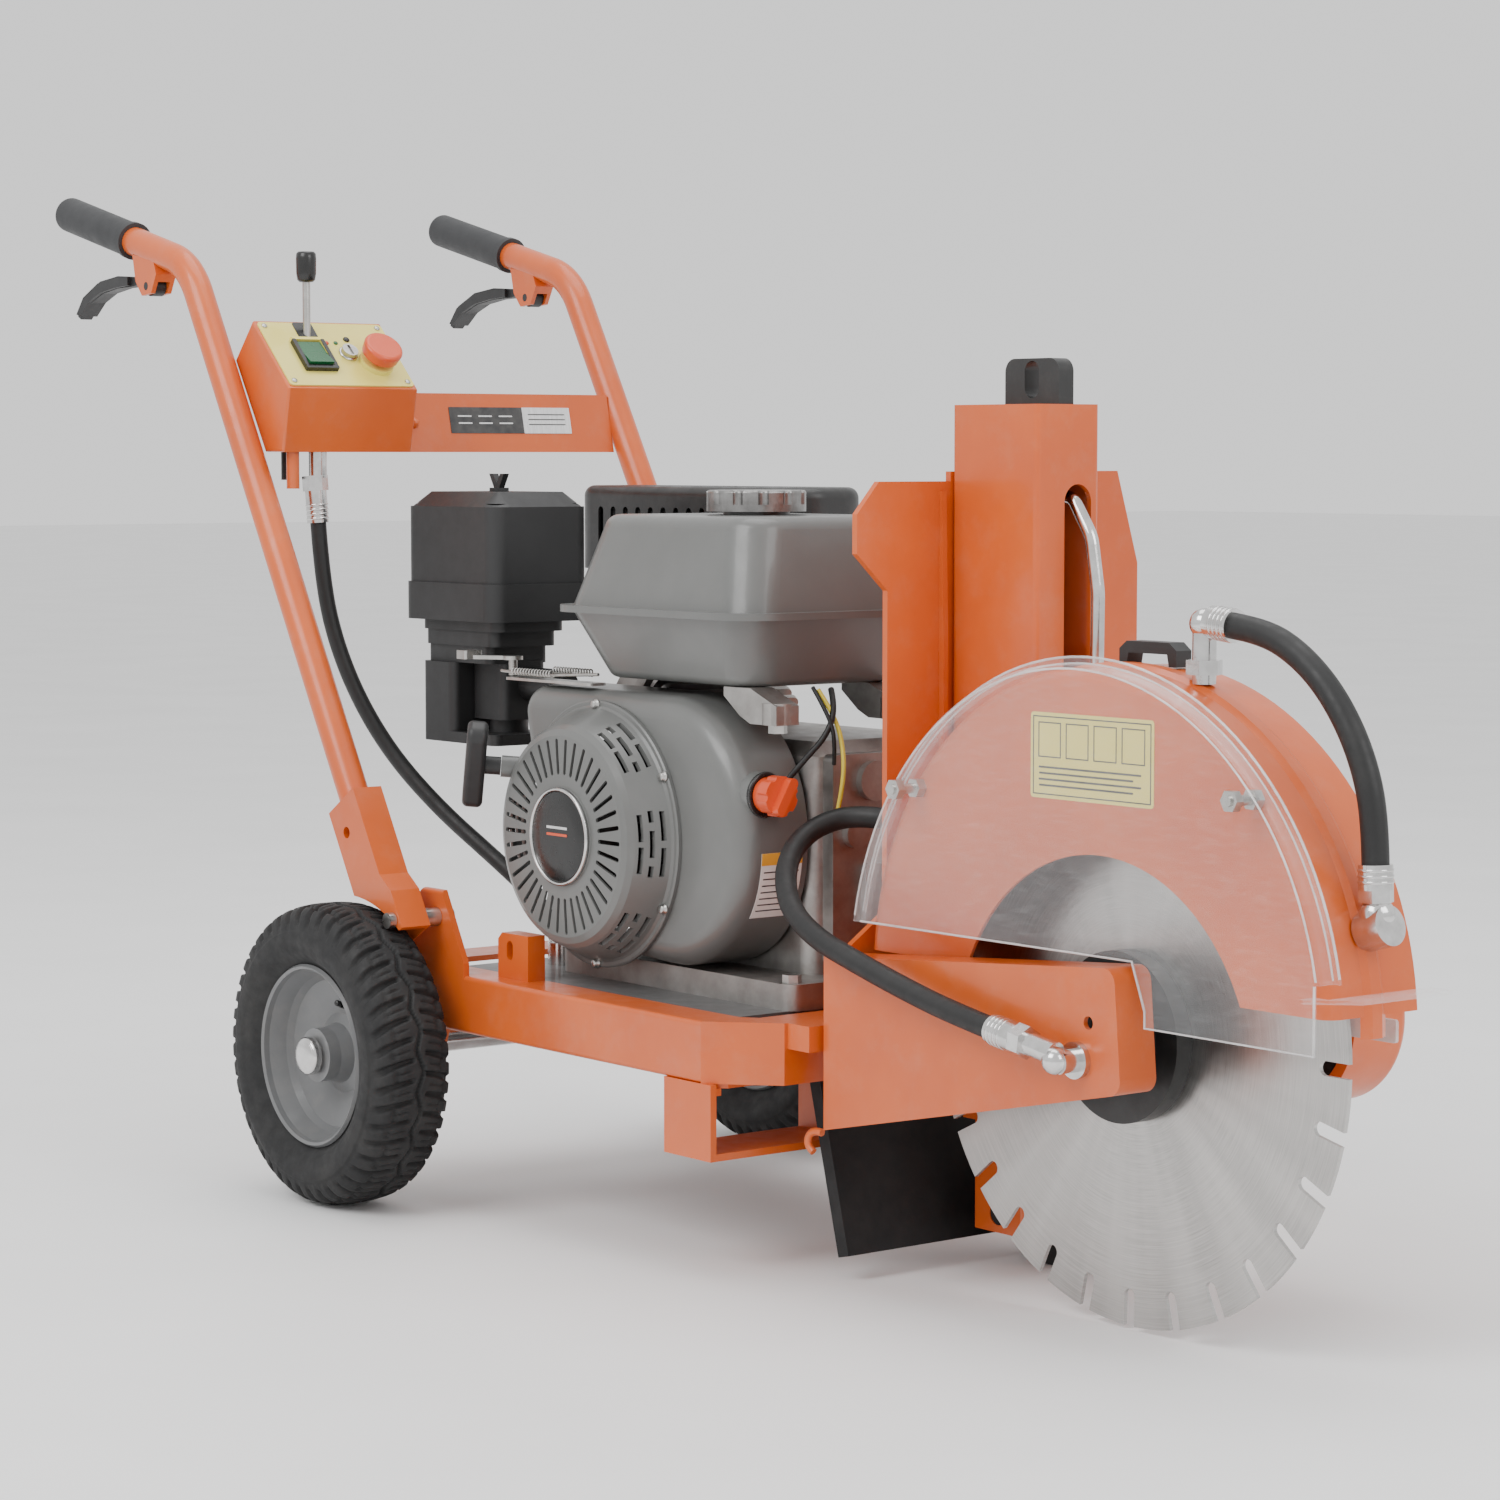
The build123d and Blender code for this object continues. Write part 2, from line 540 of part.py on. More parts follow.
with BuildPart() as hose_fittings:
    # control hose, upper union into the valve inside the box
    with BuildSketch(end_plane(CONTROL_HOSE, False)):
        Circle(10.2)
    extrude(amount=30)
    with BuildSketch(end_plane(CONTROL_HOSE, False).offset(30)):
        RegularPolygon(12, 6)
    extrude(amount=14)
    with BuildSketch(Plane.XY.offset(648)):
        with Locations((sx(-168), -163)):
            Circle(8.6)
    extrude(amount=32)
    # control hose, lower union on the deck
    with BuildSketch(end_plane(CONTROL_HOSE, True)):
        Circle(9.5)
    extrude(amount=14)
    with BuildSketch(Plane.XY.offset(211)):
        with Locations((sx(98), -73.6)):
            Circle(13)
    extrude(amount=20)
    # arm hose, rear union on the bulkhead
    with BuildSketch(end_plane(ARM_HOSE, False)):
        Circle(11)
    extrude(amount=12)
    with BuildSketch(Plane.YZ.offset(sx(523.8))):
        with Locations((-24, 367.4)):
            RegularPolygon(13, 6)
    extrude(amount=11)
    # arm hose, front ferrule, nut and elbow into the arm box
    with BuildSketch(end_plane(ARM_HOSE, True)):
        Circle(11.5)
    extrude(amount=28)
    with BuildSketch(end_plane(ARM_HOSE, True).offset(28)):
        RegularPolygon(13, 6)
    extrude(amount=12)
    with BuildSketch(end_plane(ARM_HOSE, True).offset(40)):
        Circle(9)
    extrude(amount=30)
    with Locations((sx(837.0), -150, 222.5)):
        Sphere(10.5)
    with BuildSketch(side(-130)):
        with Locations((sx(840), 221.6)):
            Circle(9)
    extrude(amount=20)
    with BuildSketch(side(-130)):
        with Locations((sx(840), 221.6)):
            Circle(14)
    extrude(amount=5)
    # guard hose, upper elbow
    with BuildSketch(end_plane(GUARD_HOSE, False)):
        Circle(12.5)
    extrude(amount=24)
    with Locations((sx(882), -44, 545)):
        Sphere(11.5)
    with BuildSketch(Plane.XY.offset(500)):
        with Locations((sx(882), -44)):
            Circle(9)
    extrude(amount=42)
    with BuildSketch(Plane.XY.offset(507)):
        with Locations((sx(882), -44)):
            RegularPolygon(14, 6)
    extrude(amount=11)
    # guard hose, lower elbow
    with BuildSketch(end_plane(GUARD_HOSE, True)):
        Circle(12.5)
    extrude(amount=18)
    with BuildSketch(end_plane(GUARD_HOSE, True).offset(18)):
        RegularPolygon(13, 6)
    extrude(amount=9)
    with Locations((sx(1057), -44, 344)):
        Sphere(13)
    with BuildSketch(Plane(origin=(sx(1070), -44, 338), z_dir=(-0.96, 0, -0.28))):
        Circle(15)
    extrude(amount=24)
hose_fittings.part.label = "hose_fittings"

# --------------------------------------------------------------- bulkhead
with BuildPart() as bulkhead:
    with BuildSketch(Plane.YZ.offset(sx(BULK_X - 6))):
        with BuildLine():
            Polyline((-120, 190), (-120, 262), (-64, 300), (-64, 560), (-96, 590), (-96, 622), (-73, 648), (3, 648),
                     (3, 656), (190, 656), (214, 578), (214, 440), (120, 440), (120, 190), close=True)
        make_face()
    extrude(amount=6)
    # base block to the front crossmember
    with BuildSketch(Plane.XY.offset(190)):
        with Locations((sx(521.1), -15)):
            Rectangle(28, 250)
    extrude(amount=21)
    # folded stiffening flange beside the column, rounded at its top
    with BuildSketch(side(-4)):
        with BuildLine():
            Polyline(*pts((541, 300), (541, 640), (544, 640), (547, 520), (547, 300)), close=True)
        make_face()
    extrude(amount=5)
bulkhead.part.label = "bulkhead"

# Lift column housing: square tube with a top cap and a slot for the pipe.
with BuildPart() as tower_column:
    with BuildSketch(Plane.XY.offset(206)):
        with Locations((sx(593), 38)):
            RectangleRounded(103.6, 68, 5)
            RectangleRounded(93.6, 58, 2, mode=Mode.SUBTRACT)
    extrude(amount=500)
    with BuildSketch(Plane.XY.offset(706)):
        with Locations((sx(593), 38)):
            RectangleRounded(103.6, 68, 5)
    extrude(amount=4)
    with BuildSketch(Plane.YZ.offset(sx(636))):
        with Locations((48, 478)):
            SlotOverall(336, 29, rotation=90)
    extrude(amount=12, mode=Mode.SUBTRACT)
tower_column.part.label = "tower_column"

with BuildPart() as lifting_eye:
    with BuildSketch(side(46)):
        with BuildLine():
            Polyline(*pts((577, 710), (577, 747), (641, 747), (641, 710)), close=True)
        make_face()
        with Locations((sx(609), 730)):
            SlotOverall(30, 17, rotation=90, mode=Mode.SUBTRACT)
    extrude(amount=16)
    fillet(lifting_eye.edges().filter_by(Axis.Y).group_by(Axis.Z)[-1], 11)
lifting_eye.part.label = "lifting_eye"

# Lift cylinder barrel under the cap, with its rigid supply pipe.
PIPE = [(612, 47, 640), (640, 48, 634), (660, 49, 604), (667, 50, 560), (666, 50, 480), (664, 50, 400),
        (662, 50, 352), (645, 50, 330)]
with BuildPart() as lift_cylinder:
    with Locations((sx(POST_X), POST_Y, 610)):
        Cylinder(26, 191)
    with Locations((sx(POST_X), POST_Y, 595)):
        Cylinder(12.06, 190, mode=Mode.SUBTRACT)
    with BuildLine() as pipe_path:
        FilletPolyline(*cord_points(PIPE), radius=[12, 30, 60, 80, 80, 12])
    with BuildSketch(Plane(origin=pipe_path.line @ 0, z_dir=pipe_path.line % 0)):
        Circle(5.5)
    sweep()
lift_cylinder.part.label = "lift_cylinder"

# Sliding post: rod, box post, cross beam and the axle hangers.
with BuildPart() as front_post:
    with BuildSketch(Plane.XY.offset(34)):
        with Locations((sx(POST_X), POST_Y)):
            RectangleRounded(60, 52, 3)
    extrude(amount=90)
    with BuildSketch(Plane.XY.offset(124)):
        with Locations((sx(POST_X), POST_Y)):
            RectangleRounded(89, 53.4, 3)
    extrude(amount=306)
    with BuildSketch(Plane.XY.offset(132)):
        with Locations((sx(POST_X), POST_Y)):
            RectangleRounded(77, 41, 3)
    extrude(amount=284, mode=Mode.SUBTRACT)
    with Locations((sx(POST_X), POST_Y, 508)):
        Cylinder(12, 164)
    with BuildSketch(Plane.XY.offset(106)):
        with Locations((sx(POST_X), 93)):
            Rectangle(36, 58)
    extrude(amount=20)
    with BuildSketch(side(122)):
        with BuildLine():
            Polyline(*pts((575, 112), (575, 50), (581, 36), (605, 36), (611, 50), (611, 112)), close=True)
        make_face()
    extrude(amount=16)
    with Locations((sx(POST_X), 68, 50)):
        Cylinder(AXLE_R + FIT, 130, rotation=(90, 0, 0), mode=Mode.SUBTRACT)
front_post.part.label = "front_post"

with BuildPart() as front_wheels:
    with Locations((sx(POST_X), 88, 50)):
        Cylinder(AXLE_R, 150, rotation=(90, 0, 0))
    for y in (85, 144):
        with Locations((sx(POST_X), y, 50)):
            Cylinder(CASTER_R, 32, rotation=(90, 0, 0))
    for y in (69, 101, 128, 160):
        with Locations((sx(POST_X), y, 50)):
            Cylinder(30, 6, rotation=(90, 0, 0), mode=Mode.SUBTRACT)
    for y in (85, 144):
        with Locations((sx(POST_X), y, 50)):
            Cylinder(16, 32, rotation=(90, 0, 0))
    with Locations((sx(POST_X), 88, 50)):
        Cylinder(AXLE_R, 150, rotation=(90, 0, 0))
front_wheels.part.label = "front_wheels"

# ------------------------------------------------------------ arms and guard
with BuildPart() as near_arm:
    with BuildSketch(side(-93)):
        with BuildLine():
            Polyline(*pts((541.2, 127), (541.2, 268), (878, 294), (886, 201)), close=True)
        make_face()
    extrude(amount=37)
    fillet(near_arm.edges().filter_by(Axis.Y).group_by(Axis.X)[-1], 12)
    fillet(near_arm.edges().filter_by(Axis.Y).group_by(Axis.X)[-2], 12)
    with BuildSketch(side(-80)):
        with BuildLine():
            Polyline(*pts((546, 136), (546, 264), (872, 289), (881, 206)), close=True)
        make_face()
    extrude(amount=46, mode=Mode.SUBTRACT)
    with Locations((sx(851), -128, 250.5)):
        Cylinder(5, 12, rotation=(90, 0, 0), mode=Mode.SUBTRACT)
near_arm.part.label = "near_arm"

with BuildPart() as far_arm:
    with BuildSketch(side(112)):
        with BuildLine():
            Polyline(*pts((541.2, 215), (541.2, 290), (870, 290), (870, 215), (840, 178), (774, 178), (744, 215)), close=True)
        make_face()
    extrude(amount=34)
    with BuildSketch(side(120)):
        with BuildLine():
            Polyline(*pts((546, 220), (546, 285), (740, 285), (740, 220)), close=True)
        make_face()
    extrude(amount=38, mode=Mode.SUBTRACT)
    with Locations((sx(BLADE_X), 95, BLADE_Z)):
        Cylinder(19, 40, rotation=(90, 0, 0), mode=Mode.SUBTRACT)
far_arm.part.label = "far_arm"

# Blade guard: half drum with a flat outer face that has a large arch, a
# rounded outer edge, a raised middle bead, and a back plate.
with BuildPart() as blade_guard:
    with BuildSketch(side(GUARD_Y1)):
        with Locations((sx(GUARD_X), GUARD_Z)):
            Circle(GUARD_R)
    extrude(amount=GUARD_Y1 - GUARD_Y0)
    fillet(blade_guard.edges().filter_by(GeomType.CIRCLE).group_by(Axis.Y)[0], 13)
    with BuildSketch(side(GUARD_Y1 - 3)):
        with Locations((sx(GUARD_X), GUARD_Z)):
            Circle(GUARD_R - 3)
    extrude(amount=GUARD_Y1 - GUARD_Y0 - 15, mode=Mode.SUBTRACT)
    with BuildSketch(side(GUARD_Y0 + 12.1)):
        with Locations((sx(GUARD_X), GUARD_Z)):
            Circle(GUARD_R - 14)
    extrude(amount=9.1, mode=Mode.SUBTRACT)
    # the guard ends level, above the blade's lower half
    with BuildSketch(side(GUARD_Y1 + 5)):
        with Locations((sx(GUARD_X), GUARD_Z - 292)):
            Rectangle(700, 616)
    extrude(amount=120, mode=Mode.SUBTRACT)
    # arch in the outer face
    with BuildSketch(side(-70)):
        with Locations((sx(820), 208)):
            Circle(162)
    extrude(amount=30, mode=Mode.SUBTRACT)
    # rear face skirt drops behind the arm box, and the back plate carries the arbor housing
    with BuildSketch(side(GUARD_Y1)):
        with BuildLine():
            Polyline(*pts((700, 275), (745, 165), (869, 165), (912, 275)), close=True)
        make_face()
    extrude(amount=3)
    with Locations((sx(BLADE_X), -2, BLADE_Z)):
        Cylinder(28, 20, rotation=(90, 0, 0), mode=Mode.SUBTRACT)
    # raised bead around the middle of the drum
    with BuildSketch(Plane.XY.offset(GUARD_Z)):
        with BuildLine():
            Polyline((sx(GUARD_X + GUARD_R - 1.5), -58), (sx(GUARD_X + GUARD_R + 3), -50),
                     (sx(GUARD_X + GUARD_R + 3), -40), (sx(GUARD_X + GUARD_R - 1.5), -32), close=True)
        make_face()
    revolve(axis=Axis((sx(GUARD_X), 0, GUARD_Z), (0, 1, 0)), revolution_arc=-176)
blade_guard.part.label = "blade_guard"

# Clear outer cover: half-round pan over the guard's face, rolled rim, level
# lip round the guard's front foot.
with BuildPart() as clear_cover:
    with BuildSketch(side(-95)):
        with Locations((sx(COVER_X), COVER_Z)):
            Circle(COVER_R)
    extrude(amount=18)
    fillet(clear_cover.edges().filter_by(GeomType.CIRCLE).group_by(Axis.Y)[0], 5)
    with BuildSketch(side(-94)):
        with Locations((sx(COVER_X), COVER_Z)):
            Circle(COVER_R - 3)
    extrude(amount=16, mode=Mode.SUBTRACT)
    with BuildSketch(side(-95)):
        with Locations((sx(COVER_X), COVER_Z)):
            Circle(COVER_R + 5)
            Circle(COVER_R - 3, mode=Mode.SUBTRACT)
    extrude(amount=3)
    # lower edge: over the arm box at the rear, lower in front of it
    with BuildSketch(side(-80)):
        with BuildLine():
            Polyline(*pts((520, -100), (520, 297), (878, 297), (892, 262), (892, 249), (1062, 249), (1062, 300),
                          (1120, 300), (1120, -100)), close=True)
        make_face()
    extrude(amount=60, mode=Mode.SUBTRACT)
    for x, z in ((614, 407), (984, 424)):
        with Locations((sx(x), -110, z)):
            Cylinder(4.3, 30, rotation=(90, 0, 0), mode=Mode.SUBTRACT)
    # level lip
    with BuildSketch(Plane.XY.offset(285)):
        with BuildLine():
            Polyline((sx(1020), -113), (sx(1046), -113), (sx(1079), -80), (sx(1079), 12), (sx(1020), 12), close=True)
        make_face()
    extrude(amount=3)
    with BuildSketch(side(20)):
        with Locations((sx(GUARD_X), GUARD_Z)):
            Circle(GUARD_R + 3.4)
    extrude(amount=114, mode=Mode.SUBTRACT)
    with BuildSketch(Plane.XY.offset(280)):
        with BuildLine():
            Polyline((sx(1014), -109.6), (sx(1044), -109.6), (sx(1044), -90), (sx(1014), -90), close=True)
        make_face()
    extrude(amount=12, mode=Mode.SUBTRACT)
clear_cover.part.label = "clear_cover"

with BuildPart() as grab_handle:
    with BuildSketch(side(-12)):
        with BuildLine():
            Polyline(*pts((774, 509.5), (774, 522), (782, 528), (828, 528), (836, 522), (836, 509.5), (828, 509.5),
                          (826, 519), (784, 519), (782, 509.5)), close=True)
        make_face()
    extrude(amount=16)
    with BuildSketch(side(0)):
        with Locations((sx(GUARD_X), GUARD_Z)):
            Circle(GUARD_R + 0.02)
    extrude(amount=60, mode=Mode.SUBTRACT)
grab_handle.part.label = "grab_handle"

with BuildPart() as splash_flap:
    with BuildSketch(side(110)):
        with BuildLine():
            Polyline(*pts((492, 159.8), (506, 159.8), (543, 21), (530, 18)), close=True)
        make_face()
    extrude(amount=215)
splash_flap.part.label = "splash_flap"

# ----------------------------------------------------------------- the drive
with BuildPart() as arbor_shaft:
    with Locations((sx(BLADE_X), -46, BLADE_Z)):
        Cylinder(12.6, 156, rotation=(90, 0, 0))
    with Locations((sx(BLADE_X), 35, BLADE_Z)):
        Cylinder(17.5, 130, rotation=(90, 0, 0))
    with Locations((sx(BLADE_X), 141, BLADE_Z)):
        Cylinder(14, 86, rotation=(90, 0, 0))
arbor_shaft.part.label = "arbor_shaft"

with BuildPart() as bearing_housings:
    # inner cartridge between the guard's back plate and the far arm
    with Locations((sx(BLADE_X), 6, BLADE_Z)):
        Cylinder(48, 12, rotation=(90, 0, 0))
    with Locations((sx(BLADE_X), 44.9, BLADE_Z)):
        Cylinder(34, 66, rotation=(90, 0, 0))
    with Locations((sx(BLADE_X), 40, BLADE_Z)):
        Cylinder(17.5 + FIT, 90, rotation=(90, 0, 0), mode=Mode.SUBTRACT)
    # outer flange bearing inside the arm box
    with Locations((sx(BLADE_X), -111.5, BLADE_Z)):
        Cylinder(24, 28.6, rotation=(90, 0, 0))
    with Locations((sx(BLADE_X), -108, BLADE_Z)):
        Cylinder(12.6 + FIT, 34.5, rotation=(90, 0, 0), mode=Mode.SUBTRACT)
bearing_housings.part.label = "bearing_housings"

with BuildPart() as blade:
    with BuildSketch(side(BLADE_Y1)):
        with Locations((sx(BLADE_X), BLADE_Z)):
            Circle(BLADE_R)
            Circle(12.7, mode=Mode.SUBTRACT)
            with PolarLocations(BLADE_R - 12, SLOTS, start_angle=SLOT_PHASE):
                SlotOverall(34, 11, mode=Mode.SUBTRACT)
    extrude(amount=BLADE_Y1 - BLADE_Y0)
blade.part.label = "blade"

with BuildPart() as blade_flanges:
    with Locations((sx(BLADE_X), -35.3, BLADE_Z)):
        Cylinder(66, 10, rotation=(90, 0, 0))
    with Locations((sx(BLADE_X), -51.95, BLADE_Z)):
        Cylinder(66, 16, rotation=(90, 0, 0))
    with Locations((sx(BLADE_X), -66, BLADE_Z)):
        Cylinder(44, 12.2, rotation=(90, 0, 0))
    with Locations((sx(BLADE_X), -50, BLADE_Z)):
        Cylinder(12.7, 100, rotation=(90, 0, 0), mode=Mode.SUBTRACT)
    with BuildSketch(side(-72.3)):
        with Locations((sx(BLADE_X), BLADE_Z)):
            RegularPolygon(22, 6)
            Circle(12.7, mode=Mode.SUBTRACT)
    extrude(amount=14)
blade_flanges.part.label = "blade_flanges"

BELT_Y = (146.0, 158.0, 170.0)
BELT_W = 9.0


def pulley_section(r_out, r_bore, y0, y1):
    """Half section (lateral, radius) of a three-groove pulley."""
    prof = [(y0, r_bore), (y0, r_out)]
    for c in BELT_Y:
        prof += [(c - 5.6, r_out), (c - 4.2, r_out - 11), (c + 4.2, r_out - 11), (c + 5.6, r_out)]
    return prof + [(y1, r_out), (y1, r_bore)]


with BuildPart() as blade_pulley:
    with BuildSketch(Plane.YZ.offset(sx(BLADE_X))):
        with BuildLine():
            Polyline(*[(a, BLADE_Z + r) for a, r in pulley_section(DRIVEN_R, 14.0, 138, 178)], close=True)
        make_face()
    revolve(axis=Axis((sx(BLADE_X), 0, BLADE_Z), (0, 1, 0)))
blade_pulley.part.label = "blade_pulley"

with BuildPart() as drive_pulley:
    with BuildSketch(Plane.YZ.offset(sx(CRANK_X))):
        with BuildLine():
            Polyline(*[(a, CRANK_Z + r) for a, r in pulley_section(DRIVE_R, 12.5, 138, 178)], close=True)
        make_face()
    revolve(axis=Axis((sx(CRANK_X), 0, CRANK_Z), (0, 1, 0)))
drive_pulley.part.label = "drive_pulley"

with BuildPart() as v_belts:
    for c in BELT_Y:
        with BuildSketch(side(c + 3.4)):
            with Locations((sx(CRANK_X), CRANK_Z)):
                Circle(DRIVE_R - 2.0)
            with Locations((sx(BLADE_X), BLADE_Z)):
                Circle(DRIVEN_R - 2.0)
            make_hull()
            with BuildSketch(side(c + 3.4), mode=Mode.PRIVATE) as inner:
                with Locations((sx(CRANK_X), CRANK_Z)):
                    Circle(DRIVE_R - 10.4)
                with Locations((sx(BLADE_X), BLADE_Z)):
                    Circle(DRIVEN_R - 10.4)
                make_hull()
            add(inner.sketch_local, mode=Mode.SUBTRACT)
        extrude(amount=6.8)
v_belts.part.label = "v_belts"

with BuildPart() as belt_cover:
    with BuildSketch(side(188)):
        with Locations((sx(CRANK_X), CRANK_Z)):
            Circle(60)
        with Locations((sx(BLADE_X), BLADE_Z)):
            Circle(72)
        make_hull()
    extrude(amount=62)
    fillet(belt_cover.edges().group_by(Axis.Y)[-1], 8)
    with BuildSketch(side(185)):
        with Locations((sx(CRANK_X), CRANK_Z)):
            Circle(57)
        with Locations((sx(BLADE_X), BLADE_Z)):
            Circle(69)
        make_hull()
    extrude(amount=70, mode=Mode.SUBTRACT)
    with BuildSketch(side(129)):
        with Locations((sx(CRANK_X), CRANK_Z)):
            Circle(60)
        with Locations((sx(BLADE_X), BLADE_Z)):
            Circle(72)
        make_hull()
        with Locations((sx(CRANK_X), CRANK_Z)):
            Circle(50, mode=Mode.SUBTRACT)
        with Locations((sx(BLADE_X), BLADE_Z)):
            Circle(62, mode=Mode.SUBTRACT)
    extrude(amount=3)
belt_cover.part.label = "belt_cover"

# ------------------------------------------------------------------- engine
with BuildPart() as crankcase:
    with BuildSketch(Plane.XY.offset(211)):
        with BuildLine():
            Polyline((sx(132), -100), (sx(462), -100), (sx(462), 108), (sx(132), 108), close=True)
        make_face()
    extrude(amount=22)
    fillet(crankcase.edges().filter_by(Axis.Z), 12)
    with BuildSketch(Plane.XY.offset(233)):
        with Locations((sx(310), 34)):
            RectangleRounded(230, 164, 16)
    extrude(amount=196)
    chamfer(crankcase.faces().sort_by(Axis.Z)[-1].edges(), 12)
    # bearing cover on the output side
    with BuildSketch(side(124)):
        with Locations((sx(CRANK_X), CRANK_Z)):
            Circle(62)
    extrude(amount=40)
    # inclined cylinder with fins, rocker box at its end
    with BuildSketch(Plane(origin=(sx(215), 38, 372), x_dir=(0, 1, 0), z_dir=(-0.78, 0, 0.625))):
        Rectangle(112, 104)
    extrude(amount=120)
    for i in range(5):
        with BuildSketch(Plane(origin=(sx(215 - 0.78 * (48 + 12 * i)), 38, 372 + 0.625 * (48 + 12 * i)),
                               x_dir=(0, 1, 0), z_dir=(-0.78, 0, 0.625))):
            RectangleRounded(140, 126, 10)
        extrude(amount=4)
    with BuildSketch(Plane(origin=(sx(215 - 0.78 * 120), 38, 372 + 0.625 * 120),
                           x_dir=(0, 1, 0), z_dir=(-0.78, 0, 0.625))):
        RectangleRounded(96, 84, 12)
    extrude(amount=30)
    # front cover boss, filler and drain
    with BuildSketch(Plane.YZ.offset(sx(424))):
        with Locations((-1, 330)):
            RectangleRounded(70, 178, 6)
    extrude(amount=14)
    with BuildSketch(Plane.YZ.offset(sx(438))):
        with Locations((6, 396)):
            Circle(17)
        with Locations((-14, 352)):
            Circle(12)
        with Locations((14, 300)):
            RectangleRounded(40, 52, 6)
    extrude(amount=7)
    with Locations((sx(CRANK_X), 10, CRANK_Z)):
        Cylinder(52, 170, rotation=(90, 0, 0), mode=Mode.SUBTRACT)
    with Locations((sx(CRANK_X), 60, CRANK_Z)):
        Cylinder(12.5 + FIT, 300, rotation=(90, 0, 0), mode=Mode.SUBTRACT)
crankcase.part.label = "crankcase"

with BuildPart() as crankshaft:
    with Locations((sx(CRANK_X), 38, CRANK_Z)):
        Cylinder(12.5, 290, rotation=(90, 0, 0))
    with Locations((sx(CRANK_X), 10, CRANK_Z)):
        Cylinder(44, 40, rotation=(90, 0, 0))
    # flywheel with fan vanes behind the recoil cover
    with Locations((sx(CRANK_X), -98, CRANK_Z)):
        Cylinder(82, 14, rotation=(90, 0, 0))
    with BuildSketch(side(-104)):
        with Locations((sx(CRANK_X), CRANK_Z)):
            with PolarLocations(64, 20):
                Rectangle(28, 3, rotation=20)
    extrude(amount=18)
    with Locations((sx(CRANK_X), -112, CRANK_Z)):
        Cylinder(36, 20, rotation=(90, 0, 0))
crankshaft.part.label = "crankshaft"

SHROUD = ((309, 351, 115), (319, 341, 105), (125, 442, 24), (162, 267, 24))
with BuildPart() as fan_shroud:
    with BuildSketch(side(-52)):
        for cx, cz, r in SHROUD:
            with Locations((sx(cx), cz)):
                Circle(r)
        make_hull()
    extrude(amount=70)
    fillet(fan_shroud.edges().group_by(Axis.Y)[0], 20)
    for inset, depth in ((6, 50), (17, 66)):
        with BuildSketch(side(-50)):
            for cx, cz, r in SHROUD:
                with Locations((sx(cx), cz)):
                    Circle(r - inset)
            make_hull()
        extrude(amount=depth, mode=Mode.SUBTRACT)
    with Locations((sx(CRANK_X), -122, CRANK_Z)):
        Cylinder(95, 20, rotation=(90, 0, 0), mode=Mode.SUBTRACT)
    # round seat for the engine switch
    with BuildSketch(Plane.YZ.offset(sx(408))):
        with Locations((-96, 388)):
            Circle(19)
    extrude(amount=16)
fan_shroud.part.label = "fan_shroud"

PULL = (-0.55, -0.83, 0.08)               # direction of the starter rope
RECOIL = [(-122.2, 116), (-125.4, 116), (-126.6, 114.5), (-126.6, 111.5), (-128.5, 109.5), (-157, 96.5), (-162, 92.6),
          (-164.4, 87), (-164.4, 43), (-166, 42), (-167.5, 42), (-167.5, 39.6), (-166, 39), (-166, 0),
          (-162, 0), (-162, 85), (-160, 89.8), (-155.6, 93.4), (-126.4, 105.8), (-122.2, 106)]
with BuildPart() as recoil_cover:
    with BuildSketch(Plane.YZ.offset(sx(CRANK_X))):
        with BuildLine():
            Polyline(*[(a, CRANK_Z + r) for a, r in RECOIL], close=True)
        make_face()
    revolve(axis=Axis((sx(CRANK_X), 0, CRANK_Z), (0, 1, 0)))
    with BuildSketch(side(-155)):
        with Locations((sx(CRANK_X), CRANK_Z)):
            with PolarLocations(69, 38):
                SlotOverall(31, 3.7)
    extrude(amount=30, mode=Mode.SUBTRACT)
    # three rows of long vents in the cone, in groups
    for row, (y, spots) in enumerate(((-152, ((8, 23), (-8, 23))), (-143, ((0, 23), (13.2, 10), (-13.2, 10))), (-134, ((8.4, 25), (-8.4, 25))))):
        with BuildSketch(side(y + 2.1)):
            for group in (0, 52, -52, 180, 128, -128):
                for angle, long in spots:
                    a = math.radians(group + angle)
                    with Locations(Location((sx(CRANK_X) + 102 * math.cos(a), CRANK_Z + 102 * math.sin(a), 0), (0, 0, group + angle))):
                        RectangleRounded(22, long, 1.2)
        extrude(amount=4.2, mode=Mode.SUBTRACT)
    # rope eyelet boss
    with BuildSketch(Plane(origin=(sx(148), -137, 394.4), z_dir=PULL)):
        Circle(9.5)
        Circle(3.5, mode=Mode.SUBTRACT)
    extrude(amount=30)
recoil_cover.part.label = "recoil_cover"

# Recoil grip: short stem and cross bar, pulled out along its rope.
GRIP_AT = (148 - 0.55 * 30.6, -137 - 0.83 * 30.6, 394.4 + 0.08 * 30.6)
with BuildPart() as recoil_grip:
    with BuildSketch(Plane(origin=(sx(GRIP_AT[0]), GRIP_AT[1], GRIP_AT[2]), z_dir=PULL)):
        Circle(8)
    extrude(amount=14)
    with BuildSketch(Plane(origin=(sx(GRIP_AT[0] - 0.55 * 13.5), GRIP_AT[1] - 0.83 * 13.5, GRIP_AT[2] + 0.08 * 13.5),
                           x_dir=(0.62, 0, 0.78), z_dir=PULL)):
        RectangleRounded(86, 27, 11)
    extrude(amount=18)
    fillet(recoil_grip.faces().filter_by(GeomType.PLANE).sort_by(Axis.Y)[0].edges(), 5)
recoil_grip.part.label = "recoil_grip"

